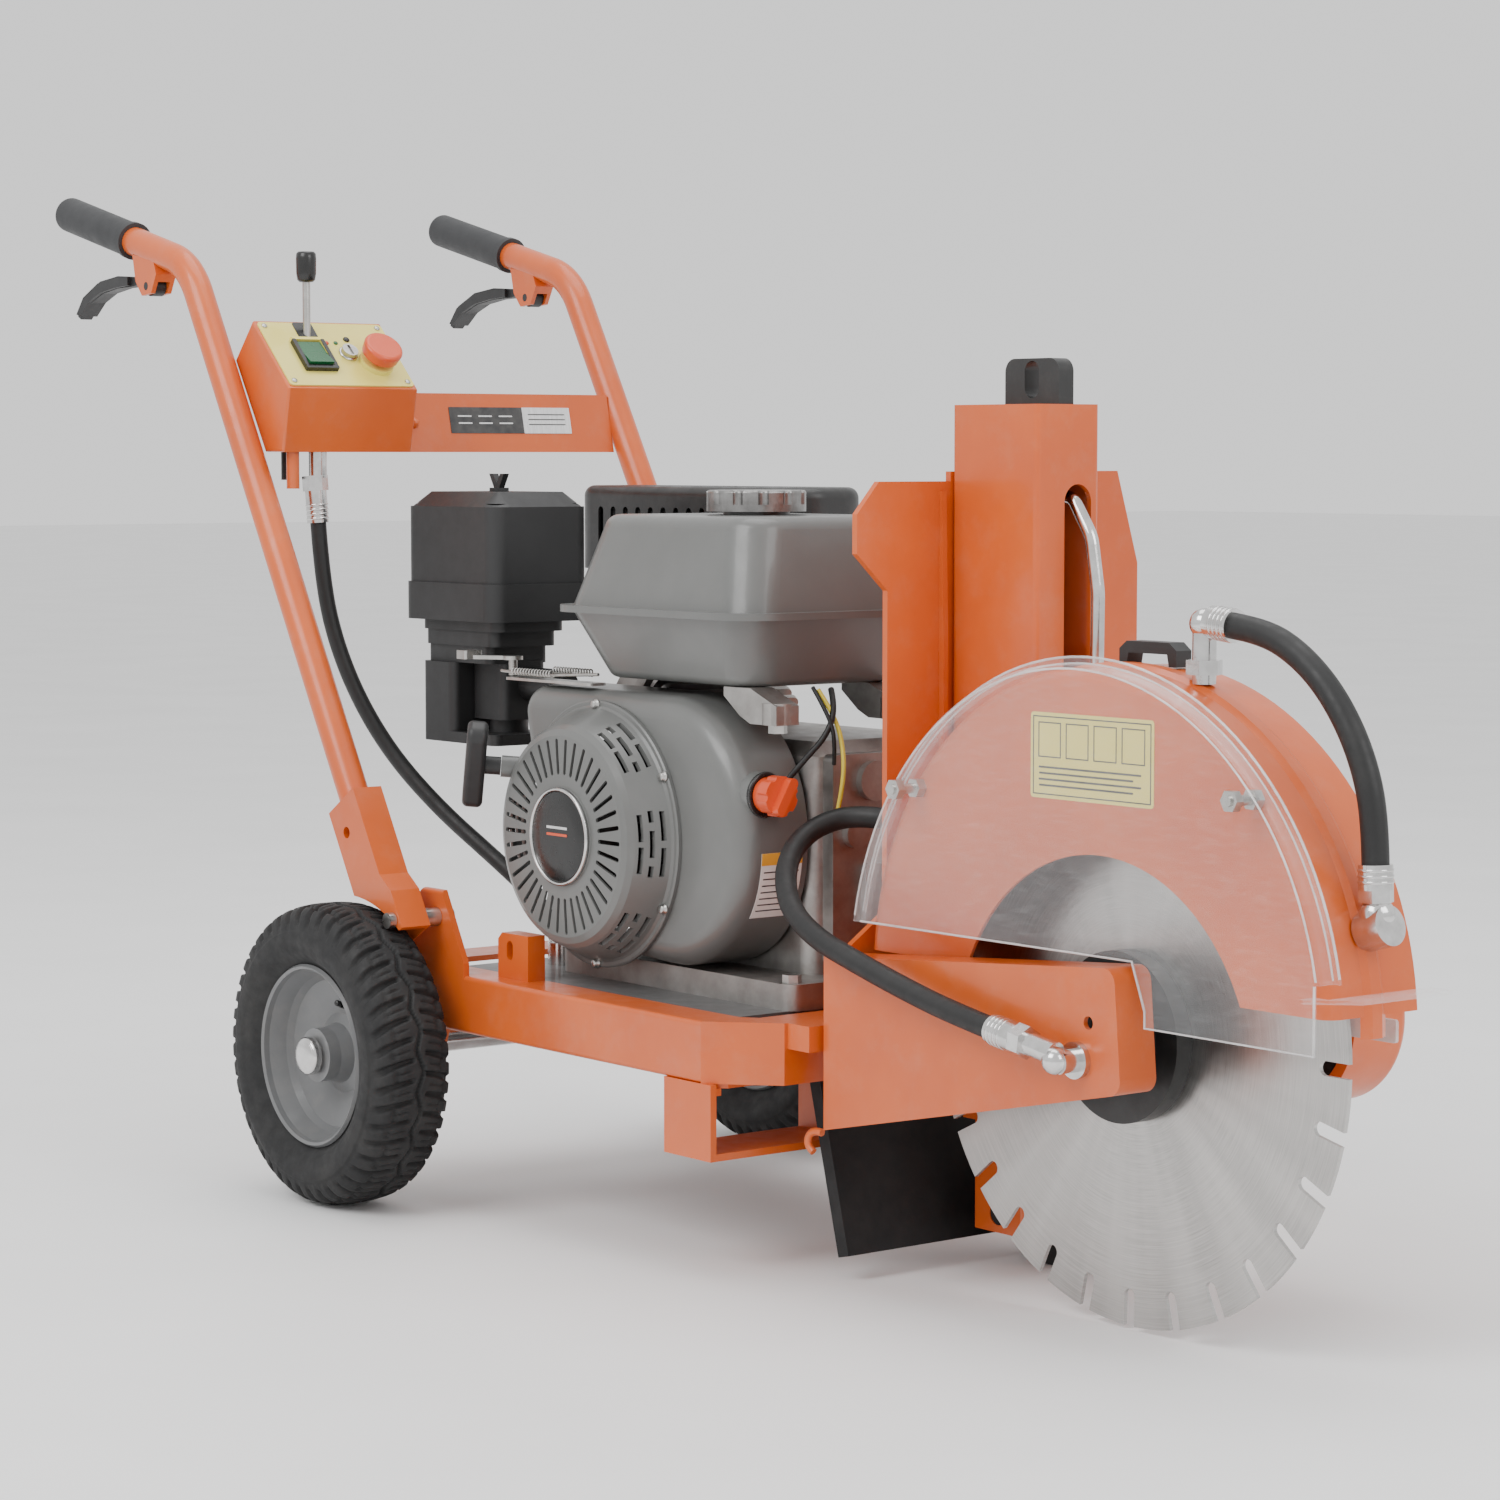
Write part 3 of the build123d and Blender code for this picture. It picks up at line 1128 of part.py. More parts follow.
# Fuel tank: two pressed shells joined at a flange.
with BuildPart() as fuel_tank:
    with BuildSketch(Plane.XY.offset(539)):
        with BuildLine():
            Polyline((sx(160), -120), (sx(428), -120), (sx(428), 95), (sx(160), 95), close=True)
        make_face()
        fillet(vertices(), 34)
    with BuildSketch(Plane.XY.offset(618)):
        with BuildLine():
            Polyline((sx(186), -100), (sx(408), -100), (sx(408), 76), (sx(186), 76), close=True)
        make_face()
        fillet(vertices(), 34)
    loft()
    fillet(fuel_tank.faces().sort_by(Axis.Z)[-1].edges(), 14)
    with BuildSketch(Plane.XY.offset(476)):
        with BuildLine():
            Polyline((sx(188), -98), (sx(404), -98), (sx(404), 74), (sx(188), 74), close=True)
        make_face()
        fillet(vertices(), 34)
    with BuildSketch(Plane.XY.offset(533)):
        with BuildLine():
            Polyline((sx(160), -120), (sx(428), -120), (sx(428), 95), (sx(160), 95), close=True)
        make_face()
        fillet(vertices(), 34)
    loft()
    fillet(fuel_tank.faces().sort_by(Axis.Z)[0].edges(), 10)
    with BuildSketch(Plane.XY.offset(533)):
        with BuildLine():
            Polyline((sx(149), -130), (sx(437), -130), (sx(437), 105), (sx(149), 105), close=True)
        make_face()
        fillet(vertices(), 40)
    extrude(amount=6)
    with Locations((sx(306), -14, 621)):
        Cylinder(29, 10)
    # inside of the two shells
    with BuildSketch(Plane.XY.offset(536)):
        with BuildLine():
            Polyline((sx(164), -116), (sx(424), -116), (sx(424), 91), (sx(164), 91), close=True)
        make_face()
        fillet(vertices(), 30)
    with BuildSketch(Plane.XY.offset(614)):
        with BuildLine():
            Polyline((sx(190), -96), (sx(404), -96), (sx(404), 72), (sx(190), 72), close=True)
        make_face()
        fillet(vertices(), 30)
    loft(mode=Mode.SUBTRACT)
    with BuildSketch(Plane.XY.offset(480)):
        with BuildLine():
            Polyline((sx(192), -94), (sx(400), -94), (sx(400), 70), (sx(192), 70), close=True)
        make_face()
        fillet(vertices(), 30)
    with BuildSketch(Plane.XY.offset(536.01)):
        with BuildLine():
            Polyline((sx(164), -116), (sx(424), -116), (sx(424), 91), (sx(164), 91), close=True)
        make_face()
        fillet(vertices(), 30)
    loft(mode=Mode.SUBTRACT)
    with Locations((sx(306), -14, 620)):
        Cylinder(22, 30, mode=Mode.SUBTRACT)
fuel_tank.part.label = "fuel_tank"

with BuildPart() as fuel_cap:
    with BuildSketch(Plane.XY.offset(626.3)):
        with Locations((sx(306), -14)):
            Circle(43)
            with PolarLocations(45, 12):
                Circle(5, mode=Mode.SUBTRACT)
    extrude(amount=13)
    fillet(fuel_cap.faces().sort_by(Axis.Z)[-1].edges(), 2.5)
    with BuildSketch(Plane.XY.offset(621)):
        with Locations((sx(306), -14)):
            Circle(43)
            Circle(32, mode=Mode.SUBTRACT)
    extrude(amount=6)
fuel_cap.part.label = "fuel_cap"

with BuildPart() as tank_brackets:
    for y in (-84, 44):
        with BuildSketch(side(y + 12)):
            with BuildLine():
                Polyline(*pts((366, 468), (388, 452), (402, 446), (437, 446), (437, 462), (402, 475.6), (366, 475.6)), close=True)
            make_face()
        extrude(amount=24)
        with BuildSketch(Plane.XY.offset(446)):
            with Locations((sx(424), y)):
                Circle(13.5)
        extrude(amount=18)
tank_brackets.part.label = "tank_brackets"

with BuildPart() as air_cleaner_cover:
    with BuildSketch(Plane.XY.offset(517.3)):
        with Locations((sx(-42), -47)):
            RectangleRounded(151, 113, 16)
    extrude(amount=34.7)
    with BuildSketch(Plane.XY.offset(552)):
        with Locations((sx(-42), -47)):
            RectangleRounded(146, 108, 14)
    extrude(amount=70)
    with BuildSketch(Plane.XY.offset(622)):
        with Locations((sx(-42), -47)):
            RectangleRounded(145.9, 107.9, 20)
    extrude(amount=13.5, taper=52)
    with BuildSketch(Plane.XY.offset(517)):
        with Locations((sx(-42), -47)):
            RectangleRounded(138, 100, 12)
    extrude(amount=108, mode=Mode.SUBTRACT)
    with BuildSketch(Plane.XY.offset(634)):
        with Locations((sx(-38), -47)):
            Circle(9)
    extrude(amount=5)
    with BuildSketch(side(-44)):
        with BuildLine():
            Polyline(*pts((-41, 637), (-50, 652), (-44, 652), (-38, 644), (-32, 652), (-26, 652), (-35, 637)), close=True)
        make_face()
    extrude(amount=6)
air_cleaner_cover.part.label = "air_cleaner_cover"

with BuildPart() as air_cleaner_base:
    with BuildSketch(Plane.XY.offset(508)):
        with Locations((sx(-39), -54)):
            RectangleRounded(128, 78, 12)
    extrude(amount=9)
    with BuildSketch(Plane.XY.offset(494)):
        with Locations((sx(-43), -54)):
            RectangleRounded(116, 72, 10)
    extrude(amount=14)
    with BuildSketch(Plane.XY.offset(478)):
        with Locations((sx(-48), -54)):
            RectangleRounded(104, 66, 8)
    extrude(amount=16)
    with BuildSketch(Plane.XY.offset(404)):
        with Locations((sx(-74), -58)):
            RectangleRounded(52, 70, 8)
    extrude(amount=74)
    with BuildSketch(Plane.XY.offset(404)):
        with Locations((sx(-30), -58)):
            RectangleRounded(100, 70, 8)
    extrude(amount=10)
    # carburettor body and intake stub towards the cylinder
    with BuildSketch(Plane.XY.offset(426)):
        with Locations((sx(-22), -48)):
            RectangleRounded(54, 48, 8)
    extrude(amount=54)
    with BuildSketch(Plane.YZ.offset(sx(-10))):
        with Locations((-40, 458)):
            Circle(16)
    extrude(amount=66)
    with BuildSketch(Plane.XY.offset(414)):
        with Locations((sx(-22), -48)):
            Circle(18)
    extrude(amount=14)
air_cleaner_base.part.label = "air_cleaner_base"

# Throttle lever on the control plate above the shroud.
THROTTLE = (40.0, -86.0, 484.0)
with BuildPart() as throttle_lever:
    with BuildSketch(Plane.XY.offset(484)):
        with Locations((sx(THROTTLE[0]), THROTTLE[1])):
            Circle(9)
        with BuildLine():
            Polyline((sx(36), -92), (sx(6), -112), (sx(0), -104), (sx(32), -80), close=True)
        make_face()
    extrude(amount=3.5)
    with BuildSketch(Plane.XY.offset(470)):
        with Locations((sx(THROTTLE[0]), THROTTLE[1])):
            Circle(4)
    extrude(amount=14)
    with BuildSketch(Plane.XY.offset(484)):
        with Locations((sx(2), -108)):
            RectangleRounded(16, 20, 3)
    extrude(amount=8)
throttle_lever.part.label = "throttle_lever"

with BuildPart() as muffler:
    with BuildSketch(Plane.XY.offset(548)):
        with Locations((sx(38), 150)):
            RectangleRounded(330, 64, 24)
    extrude(amount=78)
    fillet(muffler.faces().sort_by(Axis.Z)[-1].edges(), 12)
    with BuildSketch(Plane.XY.offset(551)):
        with Locations((sx(38), 150)):
            RectangleRounded(324, 58, 21)
    extrude(amount=68, mode=Mode.SUBTRACT)
    with BuildSketch(Plane.XY.offset(470)):
        with Locations((sx(96), 128)):
            Circle(16)
    extrude(amount=80)
    with BuildSketch(side(132)):
        with Locations((sx(96), 482)):
            RectangleRounded(56, 40, 8)
    extrude(amount=24)
muffler.part.label = "muffler"

with BuildPart() as muffler_guard:
    with BuildSketch(Plane.XY.offset(560)):
        with Locations((sx(38), 150)):
            RectangleRounded(354, 84, 30)
    extrude(amount=80)
    fillet(muffler_guard.faces().sort_by(Axis.Z)[-1].edges(), 10)
    with BuildSketch(Plane.XY.offset(550)):
        with Locations((sx(38), 150)):
            RectangleRounded(348, 78, 27)
    extrude(amount=86, mode=Mode.SUBTRACT)
    with BuildSketch(Plane.XY.offset(630)):
        with Locations((sx(38), 150)):
            with GridLocations(24, 1, 13, 1):
                SlotOverall(54, 9, rotation=90)
    extrude(amount=20, mode=Mode.SUBTRACT)
    with BuildSketch(side(220)):
        with Locations((sx(38), 600)):
            with GridLocations(20, 1, 14, 1):
                SlotOverall(40, 8, rotation=90)
    extrude(amount=140, mode=Mode.SUBTRACT)
    for x in (-100, 176):
        with BuildSketch(Plane.XY.offset(626.2)):
            with Locations((sx(x), 150)):
                Circle(8)
        extrude(amount=9.9)
muffler_guard.part.label = "muffler_guard"

SWITCH_DIR = (0.8, -0.6, 0)
with BuildPart() as engine_switch:
    with BuildSketch(Plane(origin=(sx(424.6), -96, 388), z_dir=(1, 0, 0))):
        Circle(15)
    extrude(amount=8)
    with BuildSketch(Plane(origin=(sx(432.6), -96, 388), x_dir=(0, 1, 0), z_dir=(1, 0, 0))):
        Circle(17)
        with PolarLocations(19, 6):
            Circle(4, mode=Mode.SUBTRACT)
    extrude(amount=12)
    with BuildSketch(Plane(origin=(sx(444.6), -96, 388), x_dir=(0, 1, 0), z_dir=(1, 0, 0))):
        SlotOverall(34, 9, rotation=60)
    extrude(amount=8)
engine_switch.part.label = "engine_switch"

# ------------------------------------------------------------- fasteners
with BuildPart() as hex_bolts:
    for s in (-1, 1):
        with Locations((sx(70), s * 212, 260)):
            Cylinder(5, 62, rotation=(90, 0, 0))
        with Locations((sx(70), s * 239.7, 260)):
            Cylinder(7, 6.4, rotation=(90, 0, 0))
        with Locations((sx(70), s * 180, 260)):
            Cylinder(8.5, 7.4, rotation=(90, 0, 0))
        with Locations((sx(70), s * 198.1, 260)):
            Cylinder(8.5, 15.4, rotation=(90, 0, 0))
    for x, z in ((614, 407), (984, 424)):
        with Locations((sx(x), -106.5, z)):
            Cylinder(4, 31, rotation=(90, 0, 0))
        with BuildSketch(side(-113.2)):
            with Locations((sx(x), z)):
                RegularPolygon(8.5, 6)
        extrude(amount=7)
        with BuildSketch(side(-91)):
            with Locations((sx(x), z)):
                RegularPolygon(8, 6)
        extrude(amount=8)
    for x, y in ((148, -88), (148, 96), (448, -88), (448, 96)):
        with BuildSketch(Plane.XY.offset(233)):
            with Locations((sx(x), y)):
                RegularPolygon(8, 6)
        extrude(amount=7)
    for y in (-84, 44):
        with BuildSketch(Plane.XY.offset(438.8)):
            with Locations((sx(424), y)):
                RegularPolygon(8, 6)
        extrude(amount=7)
hex_bolts.part.label = "hex_bolts"

NODES = [frame_rail_right, frame_rail_left, crossmembers, deck_plate, rear_axle, rear_tyre_right, rear_rim_right,
         rear_tyre_left, rear_rim_left, right_handle_tube, left_handle_tube, crossbar, handle_grips,
         right_hand_lever, left_hand_lever, control_box, panel_plate, rocker_switch, e_stop_button, key_switch,
         control_lever, control_hose, arm_hose, guard_hose, hose_fittings, bulkhead, tower_column, lifting_eye,
         lift_cylinder, front_post, front_wheels, near_arm, far_arm, blade_guard, clear_cover, grab_handle,
         splash_flap, arbor_shaft, bearing_housings, blade, blade_flanges, blade_pulley, drive_pulley, v_belts,
         belt_cover, crankcase, crankshaft, fan_shroud, recoil_cover, recoil_grip, fuel_tank, fuel_cap,
         tank_brackets, air_cleaner_cover, air_cleaner_base, throttle_lever, muffler, muffler_guard,
         engine_switch, hex_bolts]
for node in NODES:
    export_step(node.part, "parts/" + node.part.label + ".step")
print(len(NODES), "nodes")
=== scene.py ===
"""Looks of the walk-behind floor saw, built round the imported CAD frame."""
import math
import random

import bmesh
import bpy
from mathutils import Matrix, Vector


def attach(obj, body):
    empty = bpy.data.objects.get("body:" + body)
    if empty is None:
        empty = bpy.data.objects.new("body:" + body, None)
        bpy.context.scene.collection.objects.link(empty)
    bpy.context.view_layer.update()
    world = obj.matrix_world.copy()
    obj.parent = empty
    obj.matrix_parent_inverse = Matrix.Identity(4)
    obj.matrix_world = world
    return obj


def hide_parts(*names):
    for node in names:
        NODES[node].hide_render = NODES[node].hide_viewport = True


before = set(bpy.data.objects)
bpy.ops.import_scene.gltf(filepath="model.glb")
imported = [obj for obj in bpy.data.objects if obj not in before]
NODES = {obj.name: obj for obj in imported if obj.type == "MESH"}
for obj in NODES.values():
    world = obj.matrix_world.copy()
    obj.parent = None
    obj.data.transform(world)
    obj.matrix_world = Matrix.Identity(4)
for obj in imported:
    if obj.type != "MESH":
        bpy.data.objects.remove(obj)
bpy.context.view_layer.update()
X_CENTRE = 268.49
rnd = random.Random(7)


def P(x, y, z):
    """Station ahead of the rear axle, lateral, height (mm) -> metres in the row frame."""
    return Vector(((x - X_CENTRE) / 1000, y / 1000, z / 1000))


# ------------------------------------------------------------------ camera
cam_data = bpy.data.cameras.new("camera")
cam_data.lens = 92.09
cam_data.sensor_width = 36.0
cam_data.clip_end = 60
camera = bpy.data.objects.new("camera", cam_data)
bpy.context.scene.collection.objects.link(camera)
camera.location = P(2912.63, -2061.99, 670.26)
camera.rotation_euler = (math.radians(90 - 4.4126), 0, math.radians(51.939))
bpy.context.scene.camera = camera


# --------------------------------------------------------------- materials
class Mat:
    """A Principled material with small helpers for procedural detail."""

    def __init__(self, name, rough=0.5, metallic=0.0, spec=0.5, coat=0.0, coat_rough=0.1, colour=(0.5, 0.5, 0.5)):
        self.m = bpy.data.materials.new(name)
        self.m.use_nodes = True
        self.nt = self.m.node_tree
        self.nt.nodes.clear()
        out = self.nt.nodes.new("ShaderNodeOutputMaterial")
        self.b = self.nt.nodes.new("ShaderNodeBsdfPrincipled")
        self.nt.links.new(self.b.outputs[0], out.inputs[0])
        self.b.inputs["Base Color"].default_value = (*colour, 1)
        self.b.inputs["Roughness"].default_value = rough
        self.b.inputs["Metallic"].default_value = metallic
        self.b.inputs["Specular IOR Level"].default_value = spec
        self.b.inputs["Coat Weight"].default_value = coat
        self.b.inputs["Coat Roughness"].default_value = coat_rough
        self.tc = self.nt.nodes.new("ShaderNodeTexCoord")
        self.bumps = []

    def node(self, kind, **inputs):
        n = self.nt.nodes.new(kind)
        for k, v in inputs.items():
            n.inputs[k].default_value = v
        return n

    def link(self, a, b):
        self.nt.links.new(a, b)

    def noise(self, scale, detail=3.0, rough=0.55, coord=None, stretch=None):
        n = self.node("ShaderNodeTexNoise", Scale=scale, Detail=detail, Roughness=rough)
        src = coord or self.tc.outputs["Object"]
        if stretch:
            mp = self.nt.nodes.new("ShaderNodeMapping")
            mp.inputs["Scale"].default_value = stretch
            self.link(src, mp.inputs["Vector"])
            src = mp.outputs[0]
        self.link(src, n.inputs["Vector"])
        return n.outputs["Fac"]

    def ramp(self, fac, stops):
        r = self.nt.nodes.new("ShaderNodeValToRGB")
        els = r.color_ramp.elements
        while len(els) < len(stops):
            els.new(0.5)
        for e, (pos, col) in zip(els, stops):
            e.position = pos
            e.color = (*col, 1) if len(col) == 3 else col
        self.link(fac, r.inputs[0])
        return r.outputs[0]

    def maprange(self, fac, a, b, lo=0.3, hi=0.7):
        n = self.nt.nodes.new("ShaderNodeMapRange")
        n.inputs["From Min"].default_value = lo
        n.inputs["From Max"].default_value = hi
        n.inputs["To Min"].default_value = a
        n.inputs["To Max"].default_value = b
        self.link(fac, n.inputs["Value"])
        return n.outputs[0]

    def mix(self, fac, a, b, mode="MIX"):
        n = self.nt.nodes.new("ShaderNodeMix")
        n.data_type = "RGBA"
        n.blend_type = mode
        for sock, v in ((n.inputs[0], fac), (n.inputs[6], a), (n.inputs[7], b)):
            if isinstance(v, (int, float)):
                sock.default_value = v
            elif isinstance(v, tuple):
                sock.default_value = (*v, 1)
            else:
                self.link(v, sock)
        return n.outputs[2]

    def math(self, op, a, b=0.0, c=0.0):
        n = self.nt.nodes.new("ShaderNodeMath")
        n.operation = op
        for i, v in enumerate((a, b, c)):
            if isinstance(v, (int, float)):
                n.inputs[i].default_value = v
            else:
                self.link(v, n.inputs[i])
        return n.outputs[0]

    def colour(self, sock):
        self.link(sock, self.b.inputs["Base Color"])

    def rough(self, sock):
        self.link(sock, self.b.inputs["Roughness"])

    def bump(self, sock, strength=0.3, distance=0.0003):
        n = self.node("ShaderNodeBump", Strength=strength, Distance=distance)
        self.link(sock, n.inputs["Height"])
        if self.bumps:
            self.link(self.bumps[-1].outputs[0], n.inputs["Normal"])
        self.bumps.append(n)
        self.link(n.outputs[0], self.b.inputs["Normal"])

    def xyz(self):
        s = self.nt.nodes.new("ShaderNodeSeparateXYZ")
        self.link(self.tc.outputs["Object"], s.inputs[0])
        return s.outputs


def powder(name, dark, light, rough=(0.3, 0.42), peel=0.12, coat=0.25, dust=(0.42, 0.36, 0.3), dust_amount=0.1):
    m = Mat(name, coat=coat, coat_rough=0.12)
    base = m.ramp(m.noise(7, 4), [(0.35, dark), (0.65, light)])
    grime = m.noise(34, 6, 0.68)
    m.colour(m.mix(m.maprange(grime, 0.0, dust_amount, 0.5, 0.8), base, dust))
    m.rough(m.maprange(m.noise(60, 5), rough[0], rough[1]))
    m.bump(m.noise(520, 2), peel, 0.0002)
    m.bump(m.noise(46, 2), 0.05, 0.0006)
    return m.m


ORANGE_D, ORANGE_L = (0.560, 0.088, 0.009), (0.640, 0.112, 0.014)
M = {}
M["orange"] = powder("orange_powder_coat", ORANGE_D, ORANGE_L)
M["engine_grey"] = powder("engine_grey_paint", (0.118, 0.120, 0.116), (0.142, 0.144, 0.139), rough=(0.30, 0.40), peel=0.08, coat=0.2, dust=(0.2, 0.19, 0.18), dust_amount=0.12)
M["rim_grey"] = powder("rim_grey_paint", (0.128, 0.130, 0.132), (0.16, 0.162, 0.165), rough=(0.34, 0.46), peel=0.14, coat=0.15, dust=(0.3, 0.27, 0.23), dust_amount=0.2)
M["black_metal"] = powder("black_powder_coat", (0.010, 0.010, 0.010), (0.017, 0.017, 0.017), rough=(0.34, 0.5), peel=0.2, coat=0.1, dust=(0.09, 0.085, 0.08), dust_amount=0.25)
M["deck_grey"] = powder("deck_dark_paint", (0.10, 0.10, 0.10), (0.13, 0.13, 0.13), rough=(0.45, 0.6))


def plastic(name, dark, light, rough=(0.42, 0.55), grain=0.3, grain_scale=900, coat=0.0):
    m = Mat(name, coat=coat)
    m.colour(m.ramp(m.noise(9, 4), [(0.3, dark), (0.7, light)]))
    m.rough(m.maprange(m.noise(70, 5), rough[0], rough[1]))
    m.bump(m.noise(grain_scale, 3), grain, 0.00012)
    return m.m


M["black_plastic"] = plastic("black_moulded_plastic", (0.012, 0.012, 0.0125), (0.02, 0.02, 0.0205))
M["grip"] = plastic("grip_rubber", (0.020, 0.021, 0.023), (0.031, 0.032, 0.034), rough=(0.48, 0.62), grain=0.5, grain_scale=520)
M["knob_black"] = plastic("knob_black_plastic", (0.010, 0.010, 0.010), (0.016, 0.016, 0.016), rough=(0.2, 0.32), grain=0.1)
M["red_plastic"] = plastic("red_orange_plastic", (0.62, 0.060, 0.012), (0.70, 0.085, 0.018), rough=(0.3, 0.42), grain=0.15, coat=0.2)
M["yellow_panel"] = plastic("yellow_panel_face", (0.72, 0.62, 0.13), (0.80, 0.70, 0.18), rough=(0.3, 0.4), grain=0.1, coat=0.2)
M["yellow_collar"] = plastic("yellow_collar_plastic", (0.74, 0.60, 0.06), (0.80, 0.66, 0.08), rough=(0.28, 0.36), grain=0.1)
M["green_plastic"] = plastic("green_rocker_plastic", (0.006, 0.085, 0.026), (0.010, 0.13, 0.04), rough=(0.22, 0.32), grain=0.1, coat=0.3)

m = Mat("tyre_rubber", rough=0.7, spec=0.35)
x, y, z = m.xyz()
m.colour(m.mix(m.maprange(m.noise(24, 6, 0.7), 0.0, 0.6, 0.45, 0.8), (0.0165, 0.0165, 0.017), (0.045, 0.043, 0.041)))
m.rough(m.maprange(m.noise(90, 5), 0.6, 0.82))
m.bump(m.noise(420, 4), 0.35, 0.0003)
M["tyre"] = m.m

m = Mat("hose_rubber", rough=0.5, spec=0.4)
m.colour(m.mix(m.maprange(m.noise(30, 5, 0.7), 0.0, 0.5, 0.5, 0.8), (0.012, 0.012, 0.012), (0.028, 0.027, 0.026)))
m.rough(m.maprange(m.noise(110, 4), 0.42, 0.58))
m.bump(m.noise(700, 3), 0.35, 0.0002)
m.bump(m.noise(160, 2), 0.15, 0.0004)
M["hose"] = m.m

m = Mat("flap_rubber", rough=0.6, spec=0.3)
m.colour(m.mix(m.maprange(m.noise(18, 6, 0.7), 0.0, 0.5, 0.45, 0.8), (0.010, 0.010, 0.0105), (0.03, 0.028, 0.027)))
m.rough(m.maprange(m.noise(60, 5), 0.45, 0.65))
m.bump(m.noise(300, 4), 0.4, 0.0003)
M["flap"] = m.m


def metal(name, dark, light, rough=(0.2, 0.34), stretch=None, scale=60, bump=0.12, aniso=0.0):
    m = Mat(name, metallic=1.0)
    m.b.inputs["Anisotropic"].default_value = aniso
    m.colour(m.ramp(m.noise(scale, 5, 0.6, stretch=stretch), [(0.3, dark), (0.7, light)]))
    m.rough(m.maprange(m.noise(scale * 1.7, 5, 0.6, stretch=stretch), rough[0], rough[1]))
    m.bump(m.noise(scale * 9, 3, stretch=stretch), bump, 0.0002)
    return m.m


M["chrome"] = metal("plated_fittings", (0.55, 0.54, 0.53), (0.74, 0.735, 0.73), rough=(0.10, 0.24))
M["steel"] = metal("ground_steel", (0.44, 0.44, 0.435), (0.60, 0.60, 0.59), rough=(0.24, 0.36))
M["zinc"] = metal("zinc_plated_steel", (0.42, 0.41, 0.39), (0.58, 0.57, 0.55), rough=(0.25, 0.4))
M["cast"] = metal("cast_aluminium", (0.32, 0.305, 0.29), (0.46, 0.445, 0.43), rough=(0.42, 0.6), scale=40, bump=0.5)
M["dark_cast"] = metal("dark_cast_iron", (0.06, 0.06, 0.06), (0.1, 0.1, 0.1), rough=(0.4, 0.6), scale=60, bump=0.4)
M["cap_metal"] = metal("cap_dull_metal", (0.20, 0.195, 0.19), (0.34, 0.335, 0.33), rough=(0.28, 0.42), scale=80)

# Blade: ground steel, fine rings round the arbor, and painted highlight: lighter fan-shaped wedges round the disc
# stand in for the radial sheen.
BLADE_C = P(807, -42, 228)
m = Mat("blade_ground_steel", metallic=1.0, rough=0.34)
x, y, z = m.xyz()
dx = m.math("SUBTRACT", x, BLADE_C.x)
dz = m.math("SUBTRACT", z, BLADE_C.z)
rad = m.math("SQRT", m.math("ADD", m.math("MULTIPLY", dx, dx), m.math("MULTIPLY", dz, dz)))
ang = m.math("ARCTAN2", dz, dx)
comb = m.nt.nodes.new("ShaderNodeCombineXYZ")
m.link(m.math("MULTIPLY", rad, 900.0), comb.inputs[0])
m.link(m.math("MULTIPLY", ang, 3.0), comb.inputs[1])
rings = m.noise(1.0, 6, 0.7, coord=comb.outputs[0])
highlight_wedge_coord = m.nt.nodes.new("ShaderNodeCombineXYZ")
m.link(m.math("MULTIPLY", rad, 3.0), highlight_wedge_coord.inputs[0])
m.link(m.math("MULTIPLY", ang, 4.0), highlight_wedge_coord.inputs[1])
painted_highlight_wedge = m.noise(1.2, 2, 0.5, coord=highlight_wedge_coord.outputs[0])
base = m.mix(m.maprange(rings, 0.0, 1.0, 0.3, 0.7), (0.34, 0.33, 0.32), (0.56, 0.55, 0.535))
# painted highlight: lighter wedges mixed into the base colour
m.colour(m.mix(m.maprange(painted_highlight_wedge, 0.0, 0.45, 0.35, 0.7), base, (0.66, 0.65, 0.63)))
m.rough(m.maprange(rings, 0.27, 0.42))
m.bump(rings, 0.22, 0.0001)
m.b.inputs["Anisotropic"].default_value = 0.65
tang = m.nt.nodes.new("ShaderNodeTangent")
tang.direction_type = "RADIAL"
tang.axis = "Y"
m.link(tang.outputs[0], m.b.inputs["Tangent"])
M["blade"] = m.m

# Clear polycarbonate: faint when seen straight on, bright at its edges.
m = Mat("clear_polycarbonate", rough=0.07, spec=0.7, colour=(0.86, 0.87, 0.88))
lw = m.node("ShaderNodeLayerWeight", Blend=0.32)
scr = m.noise(60, 6, 0.75, stretch=(1, 1, 5))
m.rough(m.maprange(scr, 0.04, 0.14))
m.link(m.math("ADD", m.maprange(lw.outputs["Facing"], 0.03, 0.5, 0.15, 1.0), m.maprange(scr, 0.0, 0.05, 0.5, 0.8)), m.b.inputs["Alpha"])
m.colour(m.ramp(scr, [(0.3, (0.80, 0.81, 0.82)), (0.7, (0.92, 0.93, 0.94))]))
M["clear"] = m.m
# Painted highlight: light grey, half-opaque strips for the bright rims and bend of the clear cover.
m = Mat("clear_polycarbonate_edge_highlight", rough=0.1, spec=0.8, colour=(0.8, 0.8, 0.8))
m.link(m.maprange(m.noise(50, 4), 0.42, 0.62), m.b.inputs["Alpha"])
m.colour(m.ramp(m.noise(30, 4), [(0.3, (0.66, 0.64, 0.63)), (0.7, (0.9, 0.9, 0.9))]))
M["clear_edge_highlight"] = m.m

